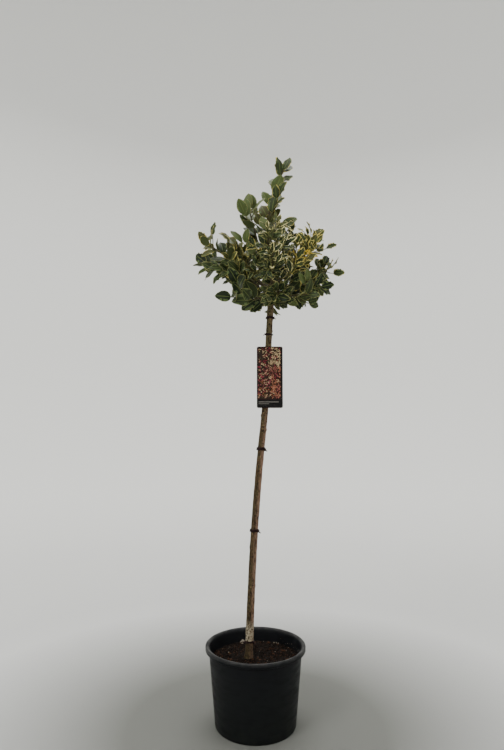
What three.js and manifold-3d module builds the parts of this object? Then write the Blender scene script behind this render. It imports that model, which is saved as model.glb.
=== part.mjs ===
// A young variegated holly grown as a standard: a clean stem with a round, open crown and
// one leader, in a black plastic nursery pot.
// Millimetres, +Z up. The origin is the centre of the pot's flat underside.

import * as THREE from 'three';
import { mergeVertices } from 'three/addons/utils/BufferGeometryUtils.js';
import Module from 'manifold-3d';

// ---------------------------------------------------------------- driving dimensions

const GAP = 0.3;                    // clearance between solids that touch
const SNUG = 0.4;                   // between the stem and what is tied round it
const WELD = 1e-3;                  // vertices nearer than this are one

const POT_HEIGHT = 212;
const POT_RIM_RADIUS = 140;         // a 28 cm, 10 litre nursery pot
const POT_WALL_RADIUS = 131;        // outside of the wall just under the rim
const POT_FOOT_RADIUS = 111.5;
const POT_LIP_HEIGHT = 12;
const POT_WALL = 2.4;
const POT_FLOOR = 3;
const POT_FOOT_BEVEL = 3.5;
const POT_LIP_BEVEL = 1.5;
const POT_SIDES = 36;

const SOIL_HEIGHT = 180;            // level under the stem
const SOIL_EDGE_DROP = 5;           // lower beside the pot wall
const SOIL_FLAT_RADIUS = 62;
const SOIL_SLOPE_WIDTH = 30;        // a first, gentle slope round the flat
const SOIL_SLOPE_DROP = 1.5;
const SOIL_FIT = 0.5;               // kept between the soil and the pot wall
const SOIL_SIDES = 24;

const TRUNK_FOOT = SOIL_HEIGHT + GAP;
const TRUNK_STEP = 177.5;           // height between two points of the stem's lean
const TRUNK_X = [-19, -12, -2.5, 12, 29.5, 38.5, 48.5];
const TRUNK_Y = [-20, -21, -20, -19, -20, -20, -20];
const TRUNK_TOP = TRUNK_FOOT + TRUNK_STEP * (TRUNK_X.length - 1);
const TRUNK_FOOT_RADIUS = 11;
const TRUNK_TAPER = 2;              // lost over TRUNK_TAPER_LENGTH
const TRUNK_TAPER_LENGTH = 850;
const FLARE_RADIUS = 1.6;           // root flare over the soil
const FLARE_HEIGHT = 14;
const HEAD_SWELL = 1.1;             // swelling where the boughs leave
const HEAD_HEIGHT = 1215;
const HEAD_SPREAD = 55;
const TRUNK_SIDES = 12;
const FLARE_RINGS = [0, 5, 12, 22, 40, 90];   // heights over the soil, then one every TRUNK_RING
const TRUNK_RING = 65;

const TIE_HEIGHTS = [226, 526, 753, 1082, 1131];
const TIE_WIDTH = 7;
const TIE_THICKNESS = 1.8;
const TIE_SIDES = 12;
const TIE_KNOT = 3.4;               // radius of the knot
const TIE_TURNS = [0.9, -0.8];      // knots sit by turns to the right and to the left

const LABEL_WIDTH = 74;
const LABEL_HEIGHT = 176;
const LABEL_THICKNESS = 0.8;
const LABEL_CORNER = 4;
const LABEL_FOOT = 869;             // height of its lower edge
const LABEL_SHIFT = 4;              // it hangs this far to the right of the stem
const STRAP_DROP = 12;              // from the label's upper edge to its strap
const STRAP_WIDTH = 6;
const LUG_WIDTH = 9;
const LUG_DEPTH = 3;                // it holds the label this far off the strap

// ---- crown: every limb runs from inside the trunk to its own tip. Its first share is a bare
// bough, and the rest is the stem of a mass of foliage that grows by the limb's habit.
const HABITS = {
  side: { radius: 3.1, bareShare: 0.18, twigZone: 1, twigStep: 26, leafStep: 16.5, leafTilt: 52 },
  open: { radius: 3.1, bareShare: 0.18, twigZone: 1, twigStep: 44, leafStep: 28, leafTilt: 52 },
  leader: { radius: 4.2, bareShare: 0.3, twigZone: 0.45, twigStep: 26, leafStep: 17.5, leafTilt: 37 },
};
const LIMB_HABITS = { leader: 'leader', lower_left: 'open' };      // side on the others
const TIP_RADIUS = 1.5;
const LIMB_STEPS = 16;              // stretches of a limb's middle line
const [BOUGH_SIDES, BOUGH_STEPS] = [7, 3];
const [STEM_SIDES, STEM_STEPS] = [5, 4];
const [TWIG_SIDES, TWIG_STEPS] = [3, 3];
const LEADER_BEND = new THREE.Vector3(-40, 0, 0.57);   // sideways in mm, up as a share of its rise
const CROWN_FOOT = 1151;            // no leaf hangs lower
const CROWN_MIDDLE = 1295;

const LIMBS = [
  { name: 'leader', height: TRUNK_TOP, azimuth: 4, reach: 36, tip: 1576, arch: 0, seed: 244 },
  { name: 'upper_left', height: 1226, azimuth: 214, reach: 78, tip: 1434, arch: -16, seed: 11 },
  { name: 'left_high', height: 1208, azimuth: 186, reach: 184, tip: 1346, arch: 2, seed: 11 },
  { name: 'left_low', height: 1190, azimuth: 170, reach: 190, tip: 1294, arch: 50, seed: 422 },
  { name: 'lower_left', height: 1178, azimuth: 204, reach: 120, tip: 1181, arch: 14, seed: 233 },
  { name: 'lower_front', height: 1173, azimuth: 285, reach: 84, tip: 1192, arch: 10, seed: 85 },
  { name: 'lower_right', height: 1184, azimuth: 326, reach: 120, tip: 1184, arch: 8, seed: 226 },
  { name: 'right', height: 1195, azimuth: 0, reach: 174, tip: 1280, arch: -14, seed: 14 },
  { name: 'upper_right', height: 1218, azimuth: 348, reach: 128, tip: 1344, arch: -8, seed: 525 },
  { name: 'upper_back', height: 1230, azimuth: 64, reach: 72, tip: 1372, arch: -12, seed: 96 },
  { name: 'front', height: 1203, azimuth: 270, reach: 156, tip: 1278, arch: 2, seed: 201 },
  { name: 'upper_front', height: 1224, azimuth: 262, reach: 96, tip: 1352, arch: -8, seed: 105 },
  { name: 'back', height: 1206, azimuth: 92, reach: 158, tip: 1308, arch: 2, seed: 16 },
  { name: 'back_left', height: 1216, azimuth: 134, reach: 148, tip: 1318, arch: 0, seed: 178 },
  { name: 'back_right', height: 1207, azimuth: 44, reach: 156, tip: 1272, arch: 6, seed: 33 },
  { name: 'lower_back', height: 1181, azimuth: 90, reach: 116, tip: 1226, arch: 14, seed: 128 },
];

// ---- growth rule of a foliage mass
const GOLDEN_ANGLE = THREE.MathUtils.degToRad(137.508);

const TWIG_LONG = 72;               // at the foot of a stem
const TWIG_SHORT = 32;              // at its tip
const TWIG_SPREAD = THREE.MathUtils.degToRad(50);
const TWIG_LIFT = 0.2;              // how far its tip bends up, as a share of its length
const TWIG_BEND = 0.55;
const TWIG_RADIUS = 1.45;
const TWIG_TIP_RADIUS = 0.95;
const TWIG_SWAY = { angle: 0.5, spread: 0.3, reach: 0.4 };       // how widely twigs differ
const STEM_LEAF = { angle: 0.4, tilt: 0.3, scale: 1, sway: 0.3 };
const TWIG_LEAF = { angle: 0.4, tilt: 0.3, scale: 0.95, sway: 0.35 };

const LEAF_SCALES = {               // where a limb's leaves are larger or smaller than usual
  leader: 1.08,
  upper_left: 1.12,
  right: 0.84,
  lower_right: 0.86,
  upper_right: 0.86,
  front: 0.82,
  upper_front: 0.82,
  lower_front: 0.88,
};
const LEAF_LENGTH = 44.5;
const LEAF_HALF_WIDTH = 13.4;
const LEAF_THICKNESS = 1.2;         // under the midrib
const LEAF_DROOP = 0.1;             // how far its tip bends down, as a share of its length
const LEAF_LIFT = 0.12;             // how far the whole leaf turns up
const STALK_LENGTH = 6.5;
const STALK_HALF_WIDTH = 0.9;
const ROOT_DEPTH = 0.2;             // how far past the middle of its twig a stalk is rooted
const TIP_LEAF_TILT = 0.13;
const TIP_LEAF_SCALE = 0.92;
const BLADE = [                     // share of the length, share of the half width
  [0, STALK_HALF_WIDTH / LEAF_HALF_WIDTH],
  [0.3, 0.94],
  [0.7, 0.86],
  [1, 0],
];
const FACE_OUT = 0.55;              // leaves face outward, up and a little to the front
const FACE_BIAS = new THREE.Vector3(0, -0.45, 0.35);
const FACE_SWAY = 0.7;

const SPACE_MARGIN = 1.2;           // a leaf keeps this far inside its mass's space
const TRUNK_CLEARANCE = 11.5;
const BOUGH_CLEARANCE = 1.5;
const TURNS = [0, 0.8, -0.8, 1.6];  // other ways round that a blocked twig or leaf tries
const SHRINKS = [1, 0.72, 0.5];

// ---------------------------------------------------------------- solids

const wasm = await Module();
wasm.setup();

const UP = new THREE.Vector3(0, 0, 1);
const ACROSS = new THREE.Vector3(1, 0, 0);

function solidOf(geometry) {
  const bare = geometry.clone();
  bare.deleteAttribute('normal');
  bare.deleteAttribute('uv');
  const merged = mergeVertices(bare, WELD);
  const index = merged.index.array;
  const triangles = [];
  for (let k = 0; k < index.length; k += 3) {
    const [a, b, c] = [index[k], index[k + 1], index[k + 2]];
    if (a !== b && b !== c && c !== a) triangles.push(a, b, c);
  }
  return new wasm.Manifold(new wasm.Mesh({
    numProp: 3,
    vertProperties: new Float32Array(merged.attributes.position.array),
    triVerts: new Uint32Array(triangles),
  }));
}

function geometryOf(solid) {
  const mesh = solid.getMesh();
  const geometry = new THREE.BufferGeometry();
  geometry.setAttribute('position', new THREE.BufferAttribute(new Float32Array(mesh.vertProperties), 3));
  geometry.setIndex(new THREE.BufferAttribute(new Uint32Array(mesh.triVerts), 1));
  geometry.computeVertexNormals();
  return geometry;
}

// The largest body only: loose scraps are dropped and sealed hollows are filled.
function mainBody(solid) {
  return solid.decompose().reduce((best, body) => (body.volume() > best.volume() ? body : best));
}

// A join leaves vertices that nearly meet: they are welded, and what that seals is filled.
function welded(solid) {
  return mainBody(solidOf(geometryOf(solid.simplify(10 * WELD))));
}

// A lathe whose axis is bent: place(height) gives the centre and the two radial directions.
function bentLathe(profile, sides, place) {
  const points = profile.map(([radius, height]) => new THREE.Vector2(radius, height));
  const geometry = new THREE.LatheGeometry(points, sides);
  const position = geometry.attributes.position;
  for (let k = 0; k < position.count; k += 1) {
    const { centre, first, second } = place(position.getY(k));
    const point = centre.clone()
      .addScaledVector(first, position.getX(k))
      .addScaledVector(second, position.getZ(k));
    position.setXYZ(k, point.x, point.y, point.z);
  }
  return geometry;
}

function upright(x, y) {
  return (height) => ({
    centre: new THREE.Vector3(x, y, height),
    first: ACROSS,
    second: new THREE.Vector3(0, -1, 0),
  });
}

// ---------------------------------------------------------------- curves

function smoothValue(values, t) {
  const last = values.length - 1;
  const i = Math.min(Math.floor(t), last - 1);
  const f = t - i;
  const before = i > 0 ? values[i - 1] : 2 * values[0] - values[1];
  const after = i + 2 <= last ? values[i + 2] : 2 * values[last] - values[last - 1];
  const slopeIn = (values[i + 1] - before) / 2;
  const slopeOut = (after - values[i]) / 2;
  const f2 = f * f;
  const f3 = f2 * f;
  return (2 * f3 - 3 * f2 + 1) * values[i] + (f3 - 2 * f2 + f) * slopeIn
    + (3 * f2 - 2 * f3) * values[i + 1] + (f3 - f2) * slopeOut;
}

function trunkAt(height) {
  const t = THREE.MathUtils.clamp((height - TRUNK_FOOT) / TRUNK_STEP, 0, TRUNK_X.length - 1);
  return new THREE.Vector3(smoothValue(TRUNK_X, t), smoothValue(TRUNK_Y, t), height);
}

function trunkRadius(height) {
  const grown = height - TRUNK_FOOT;
  const taper = TRUNK_TAPER * Math.min(grown / TRUNK_TAPER_LENGTH, 1);
  const flare = FLARE_RADIUS * Math.exp(-grown / FLARE_HEIGHT);
  const head = HEAD_SWELL * Math.exp(-(((height - HEAD_HEIGHT) / HEAD_SPREAD) ** 2));
  return TRUNK_FOOT_RADIUS - taper + flare + head;
}

function limbPath(limb) {
  const start = trunkAt(limb.height);
  const angle = THREE.MathUtils.degToRad(limb.azimuth);
  const step = new THREE.Vector3(Math.cos(angle), Math.sin(angle), 0).multiplyScalar(limb.reach);
  const end = start.clone().add(step).setZ(limb.tip);
  if (limb.name === 'leader') {
    const rise = LEADER_BEND.z * (limb.tip - start.z);
    return [start, start.clone().add(new THREE.Vector3(LEADER_BEND.x, LEADER_BEND.y, rise)), end];
  }
  return [start, start.clone().lerp(end, 0.5).addScaledVector(UP, limb.arch), end];
}

function pointOn([a, b, c], t) {
  return a.clone().multiplyScalar((1 - t) ** 2)
    .addScaledVector(b, 2 * t * (1 - t))
    .addScaledVector(c, t * t);
}

function directionOn([a, b, c], t) {
  return b.clone().sub(a).multiplyScalar(1 - t).addScaledVector(c.clone().sub(b), t).normalize();
}

// A unit direction square to an axis, turned about it by an angle.
function around(axis, angle) {
  const reference = Math.abs(axis.z) < 0.85 ? UP : ACROSS;
  const first = reference.clone().cross(axis).normalize();
  const second = axis.clone().cross(first);
  return first.multiplyScalar(Math.cos(angle)).addScaledVector(second, Math.sin(angle));
}

// A tapering round or three-sided limb along a stretch of a path.
function limbGeometry(path, from, to, radiusAt, sides, steps) {
  const normal = path[1].clone().sub(path[0]).cross(path[2].clone().sub(path[1]));
  if (normal.length() < 1e-6) normal.copy(around(directionOn(path, 0), 0));
  normal.normalize();
  const profile = [[0, 0]];
  for (let k = 0; k <= steps; k += 1) {
    profile.push([radiusAt(from + (to - from) * k / steps), k / steps]);
  }
  profile.push([0, 1]);
  return bentLathe(profile, sides, (height) => {
    const t = from + (to - from) * height;
    return { centre: pointOn(path, t), first: normal, second: normal.clone().cross(directionOn(path, t)) };
  });
}

// ---------------------------------------------------------------- pot, soil, stem

function potProfile() {
  const lipFoot = POT_HEIGHT - POT_LIP_HEIGHT;
  const lipInside = POT_RIM_RADIUS - POT_WALL;
  const innerTop = POT_WALL_RADIUS - POT_WALL;
  const innerFoot = POT_FOOT_RADIUS - POT_WALL;
  return [
    [0, 0],
    [POT_FOOT_RADIUS - POT_FOOT_BEVEL, 0],
    [POT_FOOT_RADIUS, POT_FOOT_BEVEL],
    [POT_WALL_RADIUS, POT_HEIGHT - POT_WALL],
    [lipInside, POT_HEIGHT - POT_WALL],
    [lipInside, lipFoot],
    [POT_RIM_RADIUS, lipFoot],
    [POT_RIM_RADIUS, POT_HEIGHT - POT_LIP_BEVEL],
    [POT_RIM_RADIUS - POT_LIP_BEVEL, POT_HEIGHT],
    [innerTop + POT_LIP_BEVEL, POT_HEIGHT],
    [innerTop, POT_HEIGHT - POT_LIP_BEVEL],
    [innerFoot, POT_FLOOR],
    [0, POT_FLOOR],
  ];
}

// The pot wall's inside radius at a height.
function potInside(height) {
  const share = (height - POT_FLOOR) / (POT_HEIGHT - POT_LIP_BEVEL - POT_FLOOR);
  return THREE.MathUtils.lerp(POT_FOOT_RADIUS, POT_WALL_RADIUS, share) - POT_WALL;
}

function soilProfile() {
  const foot = POT_FLOOR + GAP;
  const edge = SOIL_HEIGHT - SOIL_EDGE_DROP;
  const flatOfSide = Math.cos(Math.PI / POT_SIDES);
  const reach = (height) => potInside(height) * flatOfSide - SOIL_FIT;
  return [
    [0, foot],
    [reach(foot), foot],
    [reach(edge), edge],
    [SOIL_FLAT_RADIUS + SOIL_SLOPE_WIDTH, SOIL_HEIGHT - SOIL_SLOPE_DROP],
    [SOIL_FLAT_RADIUS, SOIL_HEIGHT],
    [0, SOIL_HEIGHT],
  ];
}

function trunkPlace(height) {
  return { centre: trunkAt(height), first: ACROSS, second: new THREE.Vector3(0, -1, 0) };
}

function trunkGeometry(grow = 0) {
  const heights = [...FLARE_RINGS];
  while (heights.at(-1) + 1.3 * TRUNK_RING < TRUNK_TOP - TRUNK_FOOT) {
    heights.push(heights.at(-1) + TRUNK_RING);
  }
  const profile = [[0, TRUNK_FOOT]];
  for (const height of heights) {
    profile.push([trunkRadius(TRUNK_FOOT + height) + grow, TRUNK_FOOT + height]);
  }
  profile.push([trunkRadius(TRUNK_TOP) + grow, TRUNK_TOP + grow]);
  profile.push([0, TRUNK_TOP + grow]);
  return bentLathe(profile, TRUNK_SIDES, trunkPlace);
}

// The stem's frame at a height: its axis and two directions square to it.
function trunkFrame(height) {
  const axis = trunkAt(height + 5).sub(trunkAt(height - 5)).normalize();
  const first = new THREE.Vector3(0, -1, 0).cross(axis).normalize();
  return { axis, first, second: first.clone().cross(axis) };
}

// A flat band round the stem, square to it.
function ringSolid(height, inner, width) {
  const frame = trunkFrame(height);
  const inside = inner / Math.cos(Math.PI / TIE_SIDES);
  const outside = inside + TIE_THICKNESS;
  const profile = [
    [inside, -width / 2],
    [outside, -width / 2],
    [outside, width / 2],
    [inside, width / 2],
    [inside, -width / 2],
  ];
  return solidOf(bentLathe(profile, TIE_SIDES, (along) => ({
    centre: trunkAt(height).addScaledVector(frame.axis, along),
    first: frame.first,
    second: frame.second,
  })));
}

// A tie snug round the stem, with its knot in front and a little to one side.
function tieSolid(height, turn) {
  const inner = trunkRadius(height - TIE_WIDTH) + SNUG;
  const ring = ringSolid(height, inner, TIE_WIDTH);
  const knot = new THREE.SphereGeometry(TIE_KNOT, 6, 4);
  const out = new THREE.Vector3(Math.sin(turn), -Math.cos(turn), 0);
  const place = trunkAt(height).addScaledVector(out, inner + TIE_KNOT + SNUG);
  knot.translate(place.x, place.y, place.z);
  return ring.add(solidOf(knot));
}

function labelFace() {
  const half = LABEL_WIDTH / 2 - LABEL_CORNER;
  const top = LABEL_HEIGHT - LABEL_CORNER;
  const shape = new THREE.Shape();
  shape.absarc(half, LABEL_CORNER, LABEL_CORNER, -Math.PI / 2, 0);
  shape.absarc(half, top, LABEL_CORNER, 0, Math.PI / 2);
  shape.absarc(-half, top, LABEL_CORNER, Math.PI / 2, Math.PI);
  shape.absarc(-half, LABEL_CORNER, LABEL_CORNER, Math.PI, 1.5 * Math.PI);
  return shape;
}

const STRAP_HEIGHT = LABEL_FOOT + LABEL_HEIGHT - STRAP_DROP;
const STRAP_INNER = trunkRadius(STRAP_HEIGHT) + SNUG;
const LABEL_BACK = trunkAt(STRAP_HEIGHT).y - STRAP_INNER - TIE_THICKNESS - LUG_DEPTH;

// The label hangs upright in front of the stem; a lug on its strap carries it.
function labelGeometry() {
  const geometry = new THREE.ExtrudeGeometry(labelFace(), {
    depth: LABEL_THICKNESS,
    bevelEnabled: false,
    curveSegments: 2,
  });
  geometry.rotateX(Math.PI / 2);
  geometry.translate(trunkAt(STRAP_HEIGHT).x + LABEL_SHIFT, LABEL_BACK - GAP, LABEL_FOOT);
  return geometry;
}

function strapSolid() {
  const ring = ringSolid(STRAP_HEIGHT, STRAP_INNER, STRAP_WIDTH);
  const ringMiddle = trunkAt(STRAP_HEIGHT).y - STRAP_INNER - TIE_THICKNESS / 2;
  const lug = new THREE.BoxGeometry(LUG_WIDTH, ringMiddle - LABEL_BACK, STRAP_WIDTH);
  lug.translate(trunkAt(STRAP_HEIGHT).x, (ringMiddle + LABEL_BACK) / 2, STRAP_HEIGHT);
  return ring.add(solidOf(lug));
}

// ---------------------------------------------------------------- growth rule

// Repeatable random numbers from 0 to 1.
function seeded(seed) {
  let state = seed >>> 0;
  return () => {
    state = (state + 0x6D2B79F5) >>> 0;
    let t = state;
    t = Math.imul(t ^ (t >>> 15), t | 1);
    t ^= t + Math.imul(t ^ (t >>> 7), t | 61);
    return ((t ^ (t >>> 14)) >>> 0) / 4294967296;
  };
}

for (const limb of LIMBS) {
  limb.habit = HABITS[LIMB_HABITS[limb.name] ?? 'side'];
  limb.leafScale = LEAF_SCALES[limb.name] ?? 1;
  limb.path = limbPath(limb);
  limb.radiusAt = (t) => THREE.MathUtils.lerp(limb.habit.radius, TIP_RADIUS, t);
  limb.line = [];
  for (let k = 0; k <= LIMB_STEPS; k += 1) limb.line.push(pointOn(limb.path, k / LIMB_STEPS));
}

const HEAD_LINE = [];
for (let height = CROWN_FOOT - 50; height <= TRUNK_TOP; height += 14) HEAD_LINE.push(trunkAt(height));

function distanceToLine(point, line) {
  const nearest = new THREE.Vector3();
  const stretch = new THREE.Line3();
  let best = Infinity;
  for (let k = 0; k + 1 < line.length; k += 1) {
    stretch.set(line[k], line[k + 1]).closestPointToPoint(point, true, nearest);
    best = Math.min(best, nearest.distanceTo(point));
  }
  return best;
}

// A mass's space is all that lies nearer to its own limb than to any other, over the crown's
// foot and clear of the trunk and of its own bough.
function inSpace(points, own) {
  const bough = own.line.slice(0, Math.ceil(own.habit.bareShare * LIMB_STEPS) + 1);
  return points.every((point) => {
    if (point.z < CROWN_FOOT) return false;
    if (distanceToLine(point, HEAD_LINE) < TRUNK_CLEARANCE) return false;
    if (distanceToLine(point, bough) < own.habit.radius + BOUGH_CLEARANCE) return false;
    const reach = distanceToLine(point, own.line) + 2 * SPACE_MARGIN;
    return LIMBS.every((limb) => limb === own || distanceToLine(point, limb.line) > reach);
  });
}

// A leaf's rows, from its stalk to its tip: left edge, right edge, the keel under the midrib
// and, for tests, the middle of the blade.
function leafRows({ base, axis, face, scale, stalk }) {
  const normal = face.clone().addScaledVector(axis, -face.dot(axis)).normalize();
  const side = normal.clone().cross(axis);
  const length = LEAF_LENGTH * scale;
  return BLADE.map(([along, wide]) => {
    const half = LEAF_HALF_WIDTH * scale * wide;
    const middle = base.clone()
      .addScaledVector(axis, stalk + along * length)
      .addScaledVector(normal, -LEAF_DROOP * length * along * along);
    const edge = (sign) => middle.clone().addScaledVector(side, sign * half);
    const keel = middle.clone().addScaledVector(normal, wide > 0 ? -LEAF_THICKNESS : 0);
    return { left: edge(-1), right: edge(1), keel, middle };
  });
}

function leafOutline(rows) {
  const inner = rows.slice(1, -1);
  return {
    left: [rows[0].middle, ...inner.map((row) => row.left), rows.at(-1).middle],
    right: [rows[0].middle, ...inner.map((row) => row.right), rows.at(-1).middle],
    middle: rows.map((row) => row.middle),
  };
}

function pairs(line) {
  return line.slice(1).map((point, k) => [line[k], point]);
}

// The blade as single triangles and as edges, to test whether two leaves cross.
function leafNet(rows) {
  const { left, right, middle } = leafOutline(rows);
  const triangles = [];
  for (const edge of [left, right]) {
    for (let k = 0; k + 1 < edge.length; k += 1) {
      if (k > 0) triangles.push([edge[k], middle[k + 1], middle[k]]);
      if (k + 2 < edge.length) triangles.push([edge[k], edge[k + 1], middle[k + 1]]);
    }
  }
  return { triangles, edges: [...pairs(left), ...pairs(right), ...pairs(middle)] };
}

function crosses(edges, triangles) {
  const ray = new THREE.Ray();
  const hit = new THREE.Vector3();
  return edges.some(([from, to]) => {
    const length = from.distanceTo(to);
    ray.origin.copy(from);
    ray.direction.copy(to).sub(from).normalize();
    return triangles.some(([a, b, c]) => (
      ray.intersectTriangle(a, b, c, false, hit) !== null && hit.distanceTo(from) < length
    ));
  });
}

// The leaf's closed solid: a point sunk in the twig, the stalk, then the keeled blade.
function leafGeometry(leaf) {
  const { base, axis } = leaf;
  const rows = leaf.rows.slice(0, -1).map(({ left, right, keel }) => [left, right, keel]);
  const points = [base.clone().addScaledVector(axis, -ROOT_DEPTH), ...rows.flat(), leaf.rows.at(-1).middle];
  const tip = points.length - 1;
  const index = [];
  for (let k = 0; k < 3; k += 1) {
    const next = (k + 1) % 3;
    index.push(0, 1 + k, 1 + next);
    for (let row = 0; row + 1 < rows.length; row += 1) {
      const near = 1 + 3 * row;
      const far = near + 3;
      index.push(near + k, far + next, near + next);
      index.push(near + k, far + k, far + next);
    }
    index.push(tip, tip - 3 + next, tip - 3 + k);
  }
  const geometry = new THREE.BufferGeometry().setFromPoints(points);
  geometry.setIndex(index);
  return geometry;
}

// The way a leaf's upper side faces, each leaf swayed its own way.
function leafFace(point, turn, strength) {
  const middle = trunkAt(TRUNK_TOP).setZ(CROWN_MIDDLE);
  const angle = turn * 2 * Math.PI;
  const sway = new THREE.Vector3(Math.cos(angle), Math.sin(angle), 0);
  return point.clone().sub(middle).normalize().multiplyScalar(FACE_OUT)
    .add(FACE_BIAS)
    .addScaledVector(sway, FACE_SWAY * strength)
    .normalize();
}

// A direction that leans off an axis by a tilt, turned about it by an angle.
function leaning(axis, tilt, angle) {
  return axis.clone().multiplyScalar(Math.cos(tilt)).addScaledVector(around(axis, angle), Math.sin(tilt));
}

function isBlocked(net, crown) {
  return crosses(crown.stems, net.triangles) || crown.nets.some((other) => (
    crosses(net.edges, other.triangles) || crosses(other.edges, net.triangles)
  ));
}

// Adds a leaf in the first of its turns that keeps to the space and crosses nothing.
function growLeaf(own, crown, { base, along, angle, tilt, turn, strength, scale, stalk }) {
  for (const more of TURNS) {
    const axis = leaning(along, tilt, angle + more).addScaledVector(UP, LEAF_LIFT).normalize();
    const face = leafFace(base.clone().addScaledVector(axis, 0.7 * LEAF_LENGTH), turn, strength);
    const leaf = { base, axis, face, scale: scale * own.leafScale, stalk };
    leaf.rows = leafRows(leaf);
    const { left, right, middle } = leafOutline(leaf.rows);
    const net = leafNet(leaf.rows);
    if (inSpace([...left, ...right, ...middle], own) && !isBlocked(net, crown)) {
      crown.nets.push(net);
      crown.leaves.push(leaf);
      return;
    }
  }
}

// The longest twig that keeps to the space, or null.
function growTwig(own, t, angle, spread, reach) {
  const base = pointOn(own.path, t);
  const along = directionOn(own.path, t);
  for (const shrink of SHRINKS) {
    for (const more of TURNS) {
      const length = reach * shrink;
      const out = leaning(along, spread, angle + more);
      const bend = base.clone().addScaledVector(out, TWIG_BEND * length);
      const end = base.clone().addScaledVector(out, length).addScaledVector(UP, TWIG_LIFT * length);
      const path = [base, bend, end];
      if (inSpace([0.3, 0.5, 0.75, 1].map((s) => pointOn(path, s)), own)) return { path, length };
    }
  }
  return null;
}

function lengthOf(line) {
  return pairs(line).reduce((sum, [from, to]) => sum + from.distanceTo(to), 0);
}

// One mass: twigs up the stem by the golden angle, then leaves down the stem and each twig.
function growMass(own) {
  const draw = seeded(own.seed);
  const vary = (middle, spread) => middle + (draw() - 0.5) * spread;
  const { bareShare, twigZone, twigStep, leafTilt } = own.habit;
  const leafStep = own.habit.leafStep * own.leafScale;
  const length = (1 - bareShare) * lengthOf(own.line);
  const phase = vary(0, 2 * Math.PI);
  const onStem = (share) => THREE.MathUtils.lerp(bareShare, 1, share);

  const twigs = [];
  const twigCount = Math.max(2, Math.round(twigZone * length / twigStep));
  for (let k = 0; k < twigCount; k += 1) {
    const share = twigZone * (k + 0.35) / twigCount;
    const angle = vary(phase + k * GOLDEN_ANGLE, TWIG_SWAY.angle);
    const spread = vary(TWIG_SPREAD, TWIG_SWAY.spread);
    const reach = THREE.MathUtils.lerp(TWIG_LONG, TWIG_SHORT, share) * vary(1, TWIG_SWAY.reach);
    const twig = growTwig(own, onStem(share), angle, spread, reach);
    if (twig) twigs.push(twig);
  }

  const crown = { leaves: [], nets: [], stems: pairs(own.line.slice(Math.floor(bareShare * LIMB_STEPS))) };
  for (const { path } of twigs) {
    crown.stems.push(...pairs([0, 0.25, 0.5, 0.75, 1].map((s) => pointOn(path, s))));
  }

  const addLeaf = (path, t, angle, tilt, scale, stalk = STALK_LENGTH) => {
    const [turn, strength] = [draw(), draw()];
    const [base, along] = [pointOn(path, t), directionOn(path, t)];
    growLeaf(own, crown, { base, along, angle, tilt, turn, strength, scale, stalk });
  };
  const addTipLeaf = (path) => {
    addLeaf(path, 1, vary(0, 2 * Math.PI), TIP_LEAF_TILT, TIP_LEAF_SCALE, STALK_LENGTH - 2);
  };

  const tilt = THREE.MathUtils.degToRad(leafTilt);
  const addSideLeaf = (path, t, angle, like) => {
    addLeaf(path, t, vary(angle, like.angle), vary(tilt, like.tilt), vary(like.scale, like.sway));
  };

  addTipLeaf(own.path);
  const stemCount = Math.floor(length / leafStep);
  for (let k = 0; k < stemCount; k += 1) {
    const share = 1 - (k + 0.35) / stemCount;
    addSideLeaf(own.path, onStem(share), phase + 1 + k * GOLDEN_ANGLE, STEM_LEAF);
  }
  for (const { path, length: reach } of twigs) {
    addTipLeaf(path);
    const twigPhase = vary(0, 2 * Math.PI);
    const count = Math.max(1, Math.floor((reach - STALK_LENGTH) / leafStep));
    for (let k = 0; k < count; k += 1) {
      const share = 1 - (k + 0.45) * leafStep / reach;
      addSideLeaf(path, share, twigPhase + k * GOLDEN_ANGLE, TWIG_LEAF);
    }
  }
  return { twigs, leaves: crown.leaves };
}

// ---------------------------------------------------------------- limbs and masses

const trunkSolid = solidOf(trunkGeometry());
const trunkSpace = solidOf(trunkGeometry(GAP));

function boughSolid(limb) {
  const { path, radiusAt, habit } = limb;
  const whole = solidOf(limbGeometry(path, 0, habit.bareShare, radiusAt, BOUGH_SIDES, BOUGH_STEPS));
  return mainBody(whole.subtract(trunkSpace));
}

function massSolid(limb) {
  const { twigs, leaves } = growMass(limb);
  const from = limb.habit.bareShare + GAP / lengthOf(limb.line);
  const twigRadius = (t) => THREE.MathUtils.lerp(TWIG_RADIUS, TWIG_TIP_RADIUS, t);
  let solid = solidOf(limbGeometry(limb.path, from, 1, limb.radiusAt, STEM_SIDES, STEM_STEPS));
  for (const { path } of twigs) {
    solid = solid.add(solidOf(limbGeometry(path, 0, 1, twigRadius, TWIG_SIDES, TWIG_STEPS)));
  }
  for (const leaf of leaves) solid = solid.add(solidOf(leafGeometry(leaf)));
  return welded(mainBody(solid));
}

// ---------------------------------------------------------------- the plant in its pot

const material = {
  pot: { color: 0x131616, roughness: 0.55, metalness: 0 },
  soil: { color: 0x1f1812, roughness: 1, metalness: 0 },
  bark: { color: 0x5a4a36, roughness: 0.85, metalness: 0 },
  bough: { color: 0x4d4a30, roughness: 0.8, metalness: 0 },
  leaf: { color: 0x4b5a2c, roughness: 0.45, metalness: 0 },
  gold: { color: 0x9a8a3a, roughness: 0.45, metalness: 0 },
  tie: { color: 0x101010, roughness: 0.5, metalness: 0 },
  label: { color: 0x2a2622, roughness: 0.35, metalness: 0 },
};

const plant = new THREE.Group();

function addPart(name, geometry, look) {
  const mesh = new THREE.Mesh(geometry, new THREE.MeshStandardMaterial(material[look]));
  mesh.name = name;
  plant.add(mesh);
}

function closed(geometry) {
  return geometryOf(solidOf(geometry));
}

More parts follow.
